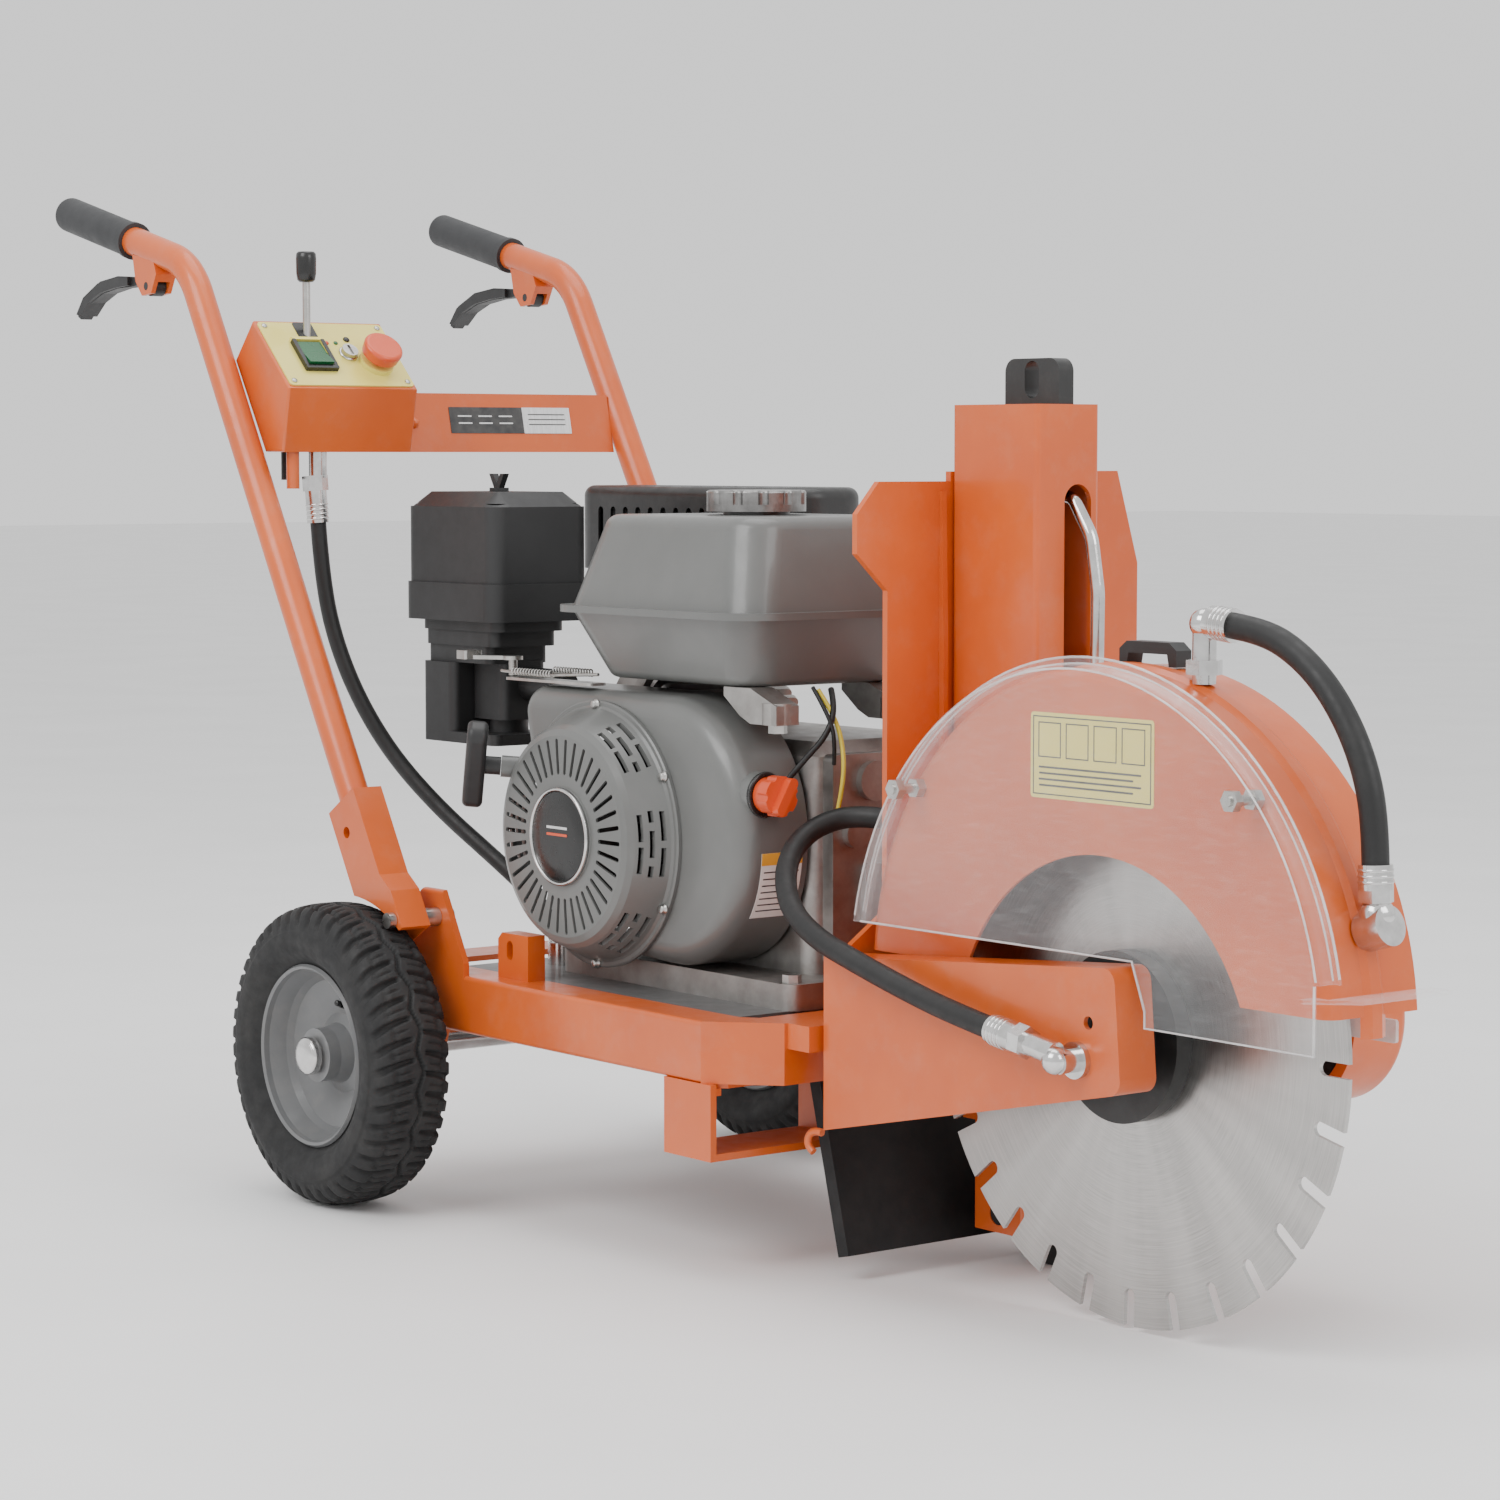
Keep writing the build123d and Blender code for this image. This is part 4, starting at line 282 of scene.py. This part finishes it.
PAINTED = {
    "orange": ["frame_rail_right", "frame_rail_left", "crossmembers", "right_handle_tube", "left_handle_tube", "crossbar",
               "control_box", "bulkhead", "tower_column", "near_arm", "far_arm", "blade_guard", "belt_cover", "front_post"],
    "engine_grey": ["fan_shroud", "recoil_cover", "fuel_tank"],
    "rim_grey": ["rear_rim_right", "rear_rim_left"],
    "deck_grey": ["deck_plate"],
    "black_plastic": ["air_cleaner_cover", "air_cleaner_base", "recoil_grip", "grab_handle", "right_hand_lever", "left_hand_lever"],
    "grip": ["handle_grips"],
    "black_metal": ["lifting_eye", "blade_flanges", "muffler", "muffler_guard"],
    "tyre": ["rear_tyre_right", "rear_tyre_left", "front_wheels"],
    "hose": ["control_hose", "arm_hose", "guard_hose", "v_belts"],
    "flap": ["splash_flap"],
    "chrome": ["hose_fittings", "lift_cylinder", "rear_axle"],
    "zinc": ["hex_bolts", "throttle_lever", "key_switch", "control_lever"],
    "cap_metal": ["fuel_cap"],
    "steel": ["arbor_shaft"],
    "cast": ["crankcase", "tank_brackets"],
    "dark_cast": ["crankshaft", "drive_pulley", "blade_pulley", "bearing_housings"],
    "blade": ["blade"],
    "yellow_panel": ["panel_plate"],
    "red_plastic": ["e_stop_button", "engine_switch"],
    "green_plastic": ["rocker_switch"],
    "clear": ["clear_cover"],
}
for key, names in PAINTED.items():
    for n in names:
        ob = NODES[n]
        ob.data.materials.clear()
        ob.data.materials.append(M[key])


# ------------------------------------------------------------ mesh helpers
def link(ob, body="chassis", mat=None, smooth=True):
    if ob.name not in bpy.context.scene.collection.objects:
        bpy.context.scene.collection.objects.link(ob)
    if mat:
        ob.data.materials.append(M[mat] if isinstance(mat, str) else mat)
    if smooth and ob.type == "MESH":
        for p in ob.data.polygons:
            p.use_smooth = True
    if body:
        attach(ob, body)
    return ob


def from_bm(bm, name):
    me = bpy.data.meshes.new(name)
    bmesh.ops.recalc_face_normals(bm, faces=bm.faces)
    bm.to_mesh(me)
    bm.free()
    return bpy.data.objects.new(name, me)


def auto_smooth(ob, angle=35):
    md = ob.modifiers.new("edges", "EDGE_SPLIT")
    md.split_angle = math.radians(angle)


def rounded(ob, width, segments=2, angle=30):
    md = ob.modifiers.new("round", "BEVEL")
    md.width = width
    md.segments = segments
    md.limit_method = "ANGLE"
    md.angle_limit = math.radians(angle)
    return md


def revolve(profile, origin, axis, name, steps=64, closed=True):
    """profile: list of (along axis, radius) in mm; origin: Vector in m; axis: unit Vector."""
    bm = bmesh.new()
    axis = Vector(axis).normalized()
    u = axis.orthogonal().normalized()
    v = axis.cross(u)
    rings = []
    for i in range(steps):
        a = 2 * math.pi * i / steps
        d = u * math.cos(a) + v * math.sin(a)
        rings.append([bm.verts.new(origin + axis * (s / 1000) + d * (r / 1000)) for s, r in profile])
    n = len(profile)
    for i in range(steps):
        A, B = rings[i], rings[(i + 1) % steps]
        for j in range(n if closed else n - 1):
            k = (j + 1) % n
            try:
                bm.faces.new((A[j], A[k], B[k], B[j]))
            except ValueError:
                pass
    bmesh.ops.remove_doubles(bm, verts=bm.verts, dist=1e-6)
    return from_bm(bm, name)


def prism(poly, depth, origin, ux, uy, name):
    """Flat polygon (mm, in the ux, uy plane) pushed depth mm along ux x uy."""
    bm = bmesh.new()
    ux, uy = Vector(ux).normalized(), Vector(uy).normalized()
    n = ux.cross(uy)
    a = [bm.verts.new(origin + ux * (p[0] / 1000) + uy * (p[1] / 1000)) for p in poly]
    b = [bm.verts.new(v.co + n * (depth / 1000)) for v in a]
    bm.faces.new(list(reversed(a)))
    bm.faces.new(b)
    for i in range(len(a)):
        j = (i + 1) % len(a)
        bm.faces.new((a[i], a[j], b[j], b[i]))
    return from_bm(bm, name)


def rrect(w, h, r, seg=5, cx=0.0, cy=0.0):
    pts = []
    for qx, qy, a0 in ((1, 1, 0), (-1, 1, 90), (-1, -1, 180), (1, -1, 270)):
        for i in range(seg + 1):
            a = math.radians(a0 + 90 * i / seg)
            pts.append((cx + qx * (w / 2 - r) + r * math.cos(a), cy + qy * (h / 2 - r) + r * math.sin(a)))
    return pts


def tube(points, radius, name, mat, body="chassis", smooth_curve=True, cyclic=False):
    cu = bpy.data.curves.new(name, "CURVE")
    cu.dimensions = "3D"
    cu.bevel_depth = radius / 1000
    cu.bevel_resolution = 3
    cu.resolution_u = 10
    cu.use_fill_caps = True
    if smooth_curve:
        sp = cu.splines.new("NURBS")
        sp.points.add(len(points) - 1)
        for q, pt in zip(sp.points, points):
            q.co = (*P(*pt), 1)
        sp.order_u = 3
        sp.use_endpoint_u = True
    else:
        sp = cu.splines.new("POLY")
        sp.points.add(len(points) - 1)
        for q, pt in zip(sp.points, points):
            q.co = (*P(*pt), 1)
    sp.use_cyclic_u = cyclic
    ob = bpy.data.objects.new(name, cu)
    cu.materials.append(M[mat])
    bpy.context.scene.collection.objects.link(ob)
    if body:
        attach(ob, body)
    return ob


# -------------------------------------------------------------- free hoses
CONTROL_HOSE = [(-168, -163, 606), (-165, -161, 556), (-155, -155, 500), (-134, -142, 442),
                (-101, -124, 388), (-52, -103, 340), (6, -85, 301), (60, -75, 268), (90, -74, 240)]
ARM_HOSE = [(520, -26, 368), (480, -40, 374), (461, -76, 364), (470, -112, 340), (505, -140, 310),
            (552, -152, 288), (612, -153, 272), (668, -151, 257), (722, -150, 245), (768, -150, 238)]
GUARD_HOSE = [(914, -44, 544), (944, -44, 541), (978, -45, 527), (1009, -46, 504), (1034, -46, 472),
              (1049, -45, 437), (1054, -44, 404), (1055, -44, 380)]
for name, route, dia, length in (("control_hose", CONTROL_HOSE, 15, 0.4841), ("arm_hose", ARM_HOSE, 18, 0.4521),
                                 ("guard_hose", GUARD_HOSE, 20, 0.2407)):
    ob = tube(route, dia / 2, name + "_rubber", "hose")
    ob.data.bevel_resolution = 6
    ob.data.resolution_u = 16
    for q in ob.data.splines[0].points:
        q.radius = 0.01
    ob.data.bevel_depth = dia / 2000 / 0.01
    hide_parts(name)


# ------------------------------------------------------------------ tyres
def tyre(side_sign, name, node, body):
    """Rear tyre with curved shoulder lugs, a zigzag centre groove and ringed side walls."""
    half = [(27.6, 79.6), (29.2, 83.5), (33.0, 87.5), (36.6, 92), (38.6, 97), (39.3, 100), (40.0, 101.5), (40.2, 106), (40.2, 111),
            (39.6, 112.4), (38.8, 113), (38.6, 116), (37.9, 119), (37.0, 122), (35.6, 125), (33.8, 127.6), (31.6, 129.6),
            (29.0, 131.2), (26, 132.4), (23, 133.2), (20, 133.8), (17, 134.2), (14, 134.5), (11, 134.8), (8.6, 134.9),
            (7.2, 134.95), (5.0, 135), (3.4, 135), (2.2, 135), (1.1, 135)]
    prof = [(-t, r) for t, r in half] + [(0, 135)] + [(t, r) for t, r in reversed(half)]
    # path length from the middle, and outward normals
    mid = len(prof) // 2
    u = [0.0] * len(prof)
    for i in range(mid + 1, len(prof)):
        u[i] = u[i - 1] + math.dist(prof[i], prof[i - 1])
    for i in range(mid - 1, -1, -1):
        u[i] = u[i + 1] - math.dist(prof[i], prof[i + 1])
    norm = []
    for i in range(len(prof)):
        a, b = prof[max(i - 1, 0)], prof[min(i + 1, len(prof) - 1)]
        d = (b[0] - a[0], b[1] - a[1])
        n = math.hypot(*d)
        norm.append((-d[1] / n, d[0] / n))
    steps, lugs = 900, 46
    centre = P(0, side_sign * 250, 135)
    verts, faces = [], []
    for j in range(steps):
        th = 2 * math.pi * j / steps
        cs, sn = math.cos(th), math.sin(th)
        tri = abs(((th * 23 / math.pi) % 2) - 1) * 2 - 1
        for i, (t, r) in enumerate(prof):
            uu = u[i]
            au = abs(uu)
            depth = 0.0
            sgn = 1 if uu > 0 else -1
            ph = (lugs * th / (2 * math.pi) + (0.5 if sgn > 0 else 0) + sgn * 0.10 + 0.62 * (au / 42) ** 1.6) % 1.0
            dist = abs(ph - 0.5) * 848 / lugs
            if 5.5 < au < 47:
                w = 1.5 + 1.6 * min(1, max(0, (au - 8) / 26))
                fade = 1.0 if au < 40 else max(0.0, (47 - au) / 7)
                if dist < w + 0.9:
                    depth = 4.6 * fade * min(1, (w + 0.9 - dist) / 0.9)
            if 9 < au < 26:
                ph2 = (ph + 0.5) % 1.0
                d2 = abs(ph2 - 0.5) * 848 / lugs
                if d2 < 1.3:
                    depth = max(depth, 2.2 * (1.3 - d2) / 1.3)
            zz = abs(uu - 3.2 * tri)
            if zz < 2.1:
                depth = max(depth, 4.2 * min(1, (2.1 - zz) / 0.7))
            if abs(au - 24.5 + 1.2 * tri) < 1.3 and 20 < au < 29:
                depth = max(depth, 2.6)
            tt, rr = t - norm[i][0] * depth * -1 * -1, r - norm[i][1] * depth
            verts.append((centre.x + rr * cs / 1000, centre.y + tt / 1000, centre.z + rr * sn / 1000))
    n = len(prof)
    for j in range(steps):
        k = (j + 1) % steps
        for i in range(n - 1):
            faces.append((j * n + i, j * n + i + 1, k * n + i + 1, k * n + i))
        faces.append((j * n + n - 1, j * n, k * n, k * n + n - 1))
    me = bpy.data.meshes.new(name)
    me.from_pydata(verts, [], faces)
    bm = bmesh.new()
    bm.from_mesh(me)
    bmesh.ops.recalc_face_normals(bm, faces=bm.faces)
    bm.to_mesh(me)
    bm.free()
    ob = bpy.data.objects.new(name, me)
    link(ob, body, "tyre")
    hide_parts(node)
    return ob


tyre(-1, "tyre_right_treaded", "rear_tyre_right", "right_wheel")
tyre(1, "tyre_left_treaded", "rear_tyre_left", "left_wheel")
for s, b in ((-1, "right_wheel"), (1, "left_wheel")):
    tube([(45, s * 262, 180), (49, s * 270, 184), (52, s * 279, 187)], 3.2, "valve_stem_%s" % b, "hose", b)
    ob = revolve([(0, 0), (0, 2.6), (7, 2.6), (8, 1.8), (8, 0)], P(52, s * 279, 187), (0.3, s * 0.9, 0.3), "valve_cap_%s" % b, 20)
    link(ob, b, "knob_black")


# ---------------------------------------------------- axle caps, ring details
for s in (-1, 1):
    ob = revolve([(0, 0), (0, 16.6), (1.0, 17.0), (5.6, 17.0), (7.4, 15.4), (8.6, 12.0), (9.0, 6.0), (9.1, 0)], P(0, s * 278.2, 135), (0, s, 0),
                 "axle_cap_%d" % (1 if s < 0 else 2), 56)
    link(ob, "chassis", "chrome")


def ring(centre, axis, r_out, r_in, h, name, mat, body="chassis", steps=48):
    ob = revolve([(-h / 2, r_in), (-h / 2, r_out - 0.4), (-h / 2 + 0.4, r_out), (h / 2 - 0.4, r_out), (h / 2, r_out - 0.4), (h / 2, r_in)],
                 centre, axis, name, steps)
    return link(ob, body, mat)


# Crimp rings on the hose ferrules.
def crimps(a, b, start, count, radius, name):
    a, b = P(*a), P(*b)
    d = (b - a).normalized()
    for i in range(count):
        c = b + d * ((start + 4.2 * i) / 1000)
        ring(c, d, radius, radius - 2.0, 2.2, "%s_%d" % (name, i), "chrome")


crimps(CONTROL_HOSE[1], CONTROL_HOSE[0], 4, 4, 10.7, "crimp_control_top")
crimps(CONTROL_HOSE[-2], CONTROL_HOSE[-1], 3, 2, 10.0, "crimp_control_foot")
crimps(ARM_HOSE[-2], ARM_HOSE[-1], 4, 4, 12.0, "crimp_arm_front")
crimps(ARM_HOSE[1], ARM_HOSE[0], 3, 2, 11.5, "crimp_arm_rear")
crimps(GUARD_HOSE[1], GUARD_HOSE[0], 4, 4, 13.0, "crimp_guard_top")
crimps(GUARD_HOSE[-2], GUARD_HOSE[-1], 4, 3, 13.0, "crimp_guard_foot")

# ---------------------------------------------------------------- label stock
m = Mat("label_white", rough=0.42, colour=(0.8, 0.8, 0.78))
m.colour(m.ramp(m.noise(45, 5), [(0.3, (0.74, 0.73, 0.70)), (0.7, (0.86, 0.86, 0.84))]))
m.bump(m.noise(300, 3), 0.05, 0.0001)
M["label_white"] = m.m
m = Mat("label_silver", rough=0.35, metallic=0.6, colour=(0.7, 0.7, 0.7))
m.colour(m.ramp(m.noise(60, 5, stretch=(1, 12, 1)), [(0.3, (0.62, 0.62, 0.62)), (0.7, (0.8, 0.8, 0.8))]))
M["label_silver"] = m.m
m = Mat("label_ink", rough=0.5, colour=(0.05, 0.05, 0.05))
m.colour(m.ramp(m.noise(90, 5), [(0.3, (0.025, 0.025, 0.027)), (0.7, (0.07, 0.068, 0.065))]))
M["label_ink"] = m.m
m = Mat("label_amber", rough=0.4, colour=(0.85, 0.45, 0.05))
m.colour(m.ramp(m.noise(50, 5), [(0.3, (0.78, 0.36, 0.03)), (0.7, (0.88, 0.47, 0.06))]))
M["label_amber"] = m.m


def plate(w, h, t, centre, ux, uy, name, mat, body="chassis", r=0.6, u=0.0, v=0.0, lift=0.0):
    """Flat plate w x h x t mm, centred at (u, v) on the plane through centre, raised by lift."""
    ux, uy = Vector(ux).normalized(), Vector(uy).normalized()
    o = centre + ux * (u / 1000) + uy * (v / 1000) + ux.cross(uy) * (lift / 1000)
    return link(prism(rrect(w, h, min(r, w / 2.05, h / 2.05), 3), t, o, ux, uy, name), body, mat, smooth=False)


def border(w, h, line, t, centre, ux, uy, name, mat, body="chassis", u=0.0, v=0.0, lift=0.0):
    for i, (ww, hh, du, dv) in enumerate(((w, line, 0, (h - line) / 2), (w, line, 0, -(h - line) / 2),
                                          (line, h - 2 * line, (w - line) / 2, 0), (line, h - 2 * line, -(w - line) / 2, 0))):
        plate(ww, hh, t, centre, ux, uy, "%s_%d" % (name, i), mat, body, 0.2, u + du, v + dv, lift)


# ------------------------------------------------- blank plate on the guard
gx, gz = (1, 0, 0), (0, 0, 1)
gc = P(811.2, -91.0, 441.8)
plate(134.5, 65.5, 0.5, gc, gx, gz, "guard_plate", "yellow_panel", r=3)
border(129, 60, 0.9, 0.25, gc, gx, gz, "guard_plate_border", "label_ink", lift=0.5)
for i in range(4):
    border(25, 27, 0.9, 0.25, gc, gx, gz, "guard_plate_box_%d" % i, "label_ink", u=-46 + 30.5 * i, v=12, lift=0.5)
for i in range(4):
    plate(112 - 9 * (i % 2), 1.5, 0.25, gc, gx, gz, "guard_plate_bar_%d" % i, "label_ink", u=-2 - 4 * (i % 2), v=-9 - 4.6 * i, lift=0.5)

# ----------------------------------------- blank strip and screw on the crossbar
cx_, cz_ = (0, 1, 0), (-0.2224, 0, 0.975)
cc = P(-213.0, 86.5, 703)
plate(86, 26, 0.5, cc, cx_, cz_, "bar_strip_dark", "label_ink", u=-28.5)
plate(57, 26, 0.5, cc, cx_, cz_, "bar_strip_silver", "label_silver", u=43)
for i in range(3):
    plate(16, 1.4, 0.25, cc, cx_, cz_, "bar_strip_mark_%d" % i, "label_silver", u=-54 + 24 * i, v=4, lift=0.5)
    plate(16, 1.4, 0.25, cc, cx_, cz_, "bar_strip_mark_b%d" % i, "label_silver", u=-54 + 24 * i, v=-3, lift=0.5)
for i in range(3):
    plate(44, 1.0, 0.25, cc, cx_, cz_, "bar_strip_line_%d" % i, "label_ink", u=43, v=6 - 5 * i, lift=0.5)
ob = revolve([(-1, 0), (-1, 5.2), (0.5, 5.4), (1.8, 4.8), (4.0, 3.4), (5.2, 1.6), (5.5, 0)], P(-212.2, -27, 700), (0.975, 0, 0.222), "crossbar_screw", 32)
link(ob, "chassis", "orange")


# ----------------------------------- blank label round the side of the shroud
def curved_label(a0, a1, y0, y1, r, name, mat):
    bm = bmesh.new()
    n = 18
    rows = []
    for i in range(n + 1):
        a = math.radians(a0 + (a1 - a0) * i / n)
        rows.append([bm.verts.new(P(319 + rr * math.cos(a), y, 341 + rr * math.sin(a))) for y, rr in ((y0, r - 0.4), (y0, r), (y1, r), (y1, r - 0.4))])
    for i in range(n):
        for j in range(4):
            k = (j + 1) % 4
            bm.faces.new((rows[i][j], rows[i][k], rows[i + 1][k], rows[i + 1][j]))
    bm.faces.new(rows[0])
    bm.faces.new(list(reversed(rows[-1])))
    ob = from_bm(bm, name)
    link(ob, "chassis", mat)
    auto_smooth(ob)
    return ob


curved_label(-1, -33, -101, -58, 105.5, "shroud_label", "label_white")
curved_label(-1, -6.5, -101, -58, 105.8, "shroud_label_head", "label_amber")
for i in range(7):
    curved_label(-9.5 - 3.2 * i, -10.1 - 3.2 * i, -98, -61 - 5 * (i % 3), 105.75, "shroud_label_line_%d" % i, "label_ink")

# ------------------------------------------- recoil badge, ring and flange screws
rc = P(226, 0, 342)
fy = Vector((0, -1, 0))
ob = revolve([(166, 39.4), (168.4, 39.6), (169.0, 40.4), (169.0, 41.4), (168.4, 42.2), (165.5, 42.6), (165.5, 39.4)], rc, fy, "badge_ring", 96)
link(ob, "chassis", "chrome")
ob = revolve([(165.4, 0), (165.4, 39.3), (167.2, 39.3), (168.0, 38.0), (168.9, 24), (169.2, 10), (169.2, 0)], rc, fy, "badge_disc", 96)
link(ob, "chassis", "knob_black")
plate(30, 2.2, 0.4, P(226, -169.1, 350), gx, gz, "badge_bar_0", "label_silver")
plate(30, 2.2, 0.4, P(226, -169.1, 344), gx, gz, "badge_bar_1", "red_plastic")
for i, a in enumerate((90, 30, -30, -90, 150, 210)):
    ar = math.radians(a)
    c = P(226 + 112.6 * math.cos(ar), -126.4, 342 + 112.6 * math.sin(ar))
    ob = revolve([(0, 0), (0, 4.6), (1.4, 4.6), (1.6, 3.4), (4.4, 3.4), (5.0, 2.8), (5.0, 0)], c, fy, "recoil_screw_%d" % i, 6 if i < 0 else 24)
    link(ob, "chassis", "zinc")
ob = revolve([(0, 14), (0, 18.8), (3, 19.4), (4.2, 18.6), (4.2, 14)], P(420.2, -96, 388), (1, 0, 0), "switch_ring", 48)
link(ob, "chassis", "knob_black")

# ------------------------------------------------------------- control panel
PU, PV = Vector((0, 1, 0)), Vector((-65, 0, 63)).normalized()
PC = P(-178.5, -135.9, 762.5)
for i, (w, h, du, dv) in enumerate(((35, 4.2, 0, -19.7), (3.9, 35.2, 15.55, 0), (3.9, 35.2, -15.55, 0))):
    ob = plate(w, h, 6.3, PC, PU, PV, "rocker_frame_%d" % i, "knob_black", r=0.8, u=-26 + du, v=-2 + dv, lift=0)
PNV = PU.cross(PV)


def panel_dot(u, v, r, h, name, mat, base=1.6):
    c = PC + PU * (u / 1000) + PV * (v / 1000) + PNV * (base / 1000)
    ob = revolve([(-0.6, 0), (-0.6, r), (h * 0.5, r), (h * 0.85, r * 0.75), (h, r * 0.3), (h, 0)], c, PNV, name, 28)
    return link(ob, "chassis", mat)


for i, (u, v) in enumerate(((-62, 37), (62, 37), (-62, -37), (62, -37))):
    panel_dot(u, v, 2.8, 1.6, "panel_screw_%d" % i, "zinc")
panel_dot(-4, 15, 2.2, 1.6, "panel_lamp_0", "red_plastic")
panel_dot(6, 15, 2.2, 1.6, "panel_lamp_1", "green_plastic")
panel_dot(20, 20, 3.2, 2.0, "panel_plug", "knob_black")
ob = revolve([(-0.6, 6.6), (-0.6, 9.4), (1.6, 9.4), (2.2, 8.6), (2.2, 6.6)], PC + PU * 0.013 + PNV * 0.0016, PNV, "key_bezel", 40)
link(ob, "chassis", "chrome")
plate(21, 31, 0.5, PC, PU, PV, "lever_slot_plate", "knob_black", r=3, u=-20.1, v=27, lift=1.6)
# black knob over the top of the lever
corners = [NODES["control_lever"].matrix_world @ Vector(c) for c in NODES["control_lever"].bound_box]
top = max(c.z for c in corners)
kx = sum(c.x for c in corners) / 8
ky = sum(c.y for c in corners) / 8
ob = revolve([(-28, 0), (-28, 6.4), (-26, 8.4), (-20, 9.4), (-6, 9.6), (-1.5, 9.2), (0.3, 7.6), (0.5, 0)], Vector((kx, ky, top)), (0, 0, 1), "lever_knob", 40)
link(ob, "valve_lever", "knob_black")
tube([(-192, -182, 674), (-192, -182, 660), (-192, -182, 646)], 5.4, "box_stub", "hose")

# ------------------------------------------------------------ clear cover edges, drawn as painted rim highlights
def cover_arc(r, y, name, a0=10.8, a1=169.2, rad=0.9):
    pts = []
    for i in range(49):
        a = math.radians(a0 + (a1 - a0) * i / 48)
        pts.append((811 + r * math.cos(a), y, 254 + r * math.sin(a)))
    return tube(pts, rad, name, "clear_edge_highlight", smooth_curve=False)


cover_arc(256.6, -112.2, "cover_edge_front", rad=0.9)
cover_arc(260.0, -98.2, "cover_edge_bend", rad=0.8)
cover_arc(264.8, -96.6, "cover_edge_flange", rad=1.0)
tube([(566, -112, 297.6), (878, -112, 297.6), (892, -112, 262), (892, -112, 249.6), (1061.5, -112, 249.6), (1061.5, -112, 299)], 1.0,
     "cover_edge_low", "clear_edge_highlight", smooth_curve=False)
plate(74, 17, 3, P(1000, 2, 254), gx, gz, "cover_foot_far", "clear_edge_highlight", r=2)

# ------------------------------------------------- small fittings and linkages
tube([(536, -127, 124), (527, -128, 125), (520, -129, 119), (520, -129, 111), (526, -128, 107)], 3.2, "arm_hook", "orange")
tube([(428, -80, 397), (438, -68, 416), (448, -52, 436), (446, -40, 458), (430, -32, 474)], 2.6, "wire_black", "hose")
tube([(430, -46, 474), (446, -40, 452), (452, -36, 424), (449, -34, 396), (442, -34, 374)], 2.0, "wire_yellow", "yellow_collar")
tube([(428, -50, 476), (450, -48, 450), (450, -44, 430), (444, -40, 412)], 1.8, "wire_dark", "hose")
plate(130, 20, 2.4, P(135, -106, 468.5), gx, (0, 1, 0), "governor_plate", "zinc", r=4)
for j, (x0, x1, y, z) in enumerate(((78, 140, -112, 476), (128, 186, -102, 479))):
    pts = []
    turns = 14
    for i in range(turns * 8 + 1):
        a = 2 * math.pi * i / 8
        pts.append((x0 + (x1 - x0) * i / (turns * 8), y + 3 * math.cos(a), z + 3 * math.sin(a)))
    tube(pts, 0.7, "governor_spring_%d" % j, "zinc", smooth_curve=False)
tube([(60, -112, 476), (120, -112, 474), (196, -103, 478)], 1.5, "governor_rod", "zinc", smooth_curve=False)


# ------------------------------------------------------------------ stage
floor_me = bpy.data.meshes.new("floor")
s = 30.0
floor_me.from_pydata([(-s, -s, -0.0005), (s, -s, -0.0005), (s, s, -0.0005), (-s, s, -0.0005)], [], [(0, 1, 2, 3)])
floor = bpy.data.objects.new("floor", floor_me)
bpy.context.scene.collection.objects.link(floor)
m = Mat("pale_floor", rough=0.6, colour=(0.86, 0.86, 0.86))
m.colour(m.ramp(m.noise(3, 3), [(0.3, (0.84, 0.84, 0.84)), (0.7, (0.88, 0.88, 0.88))]))
floor_me.materials.append(m.m)

world = bpy.data.worlds.new("studio")
bpy.context.scene.world = world
world.use_nodes = True
world.node_tree.nodes["Background"].inputs[0].default_value = (1.0, 1.0, 1.0, 1)
world.node_tree.nodes["Background"].inputs[1].default_value = 1.1


def area(name, loc, target, size, energy, colour=(1, 1, 1)):
    ld = bpy.data.lights.new(name, "AREA")
    ld.shape = "RECTANGLE"
    ld.size, ld.size_y = size
    ld.energy = energy
    ld.color = colour
    ob = bpy.data.objects.new(name, ld)
    bpy.context.scene.collection.objects.link(ob)
    ob.location = loc
    ob.rotation_euler = (Vector(target) - Vector(loc)).to_track_quat("-Z", "Y").to_euler()
    return ob


area("key_light", (0.3, -3.2, 3.2), (0, 0, 0.3), (2.4, 2.0), 95)
area("front_light", (3.6, 0.6, 2.4), (0.2, 0, 0.3), (2.0, 2.0), 50)
area("top_light", (-0.2, 0.4, 3.8), (0, 0, 0.3), (2.6, 2.6), 55)
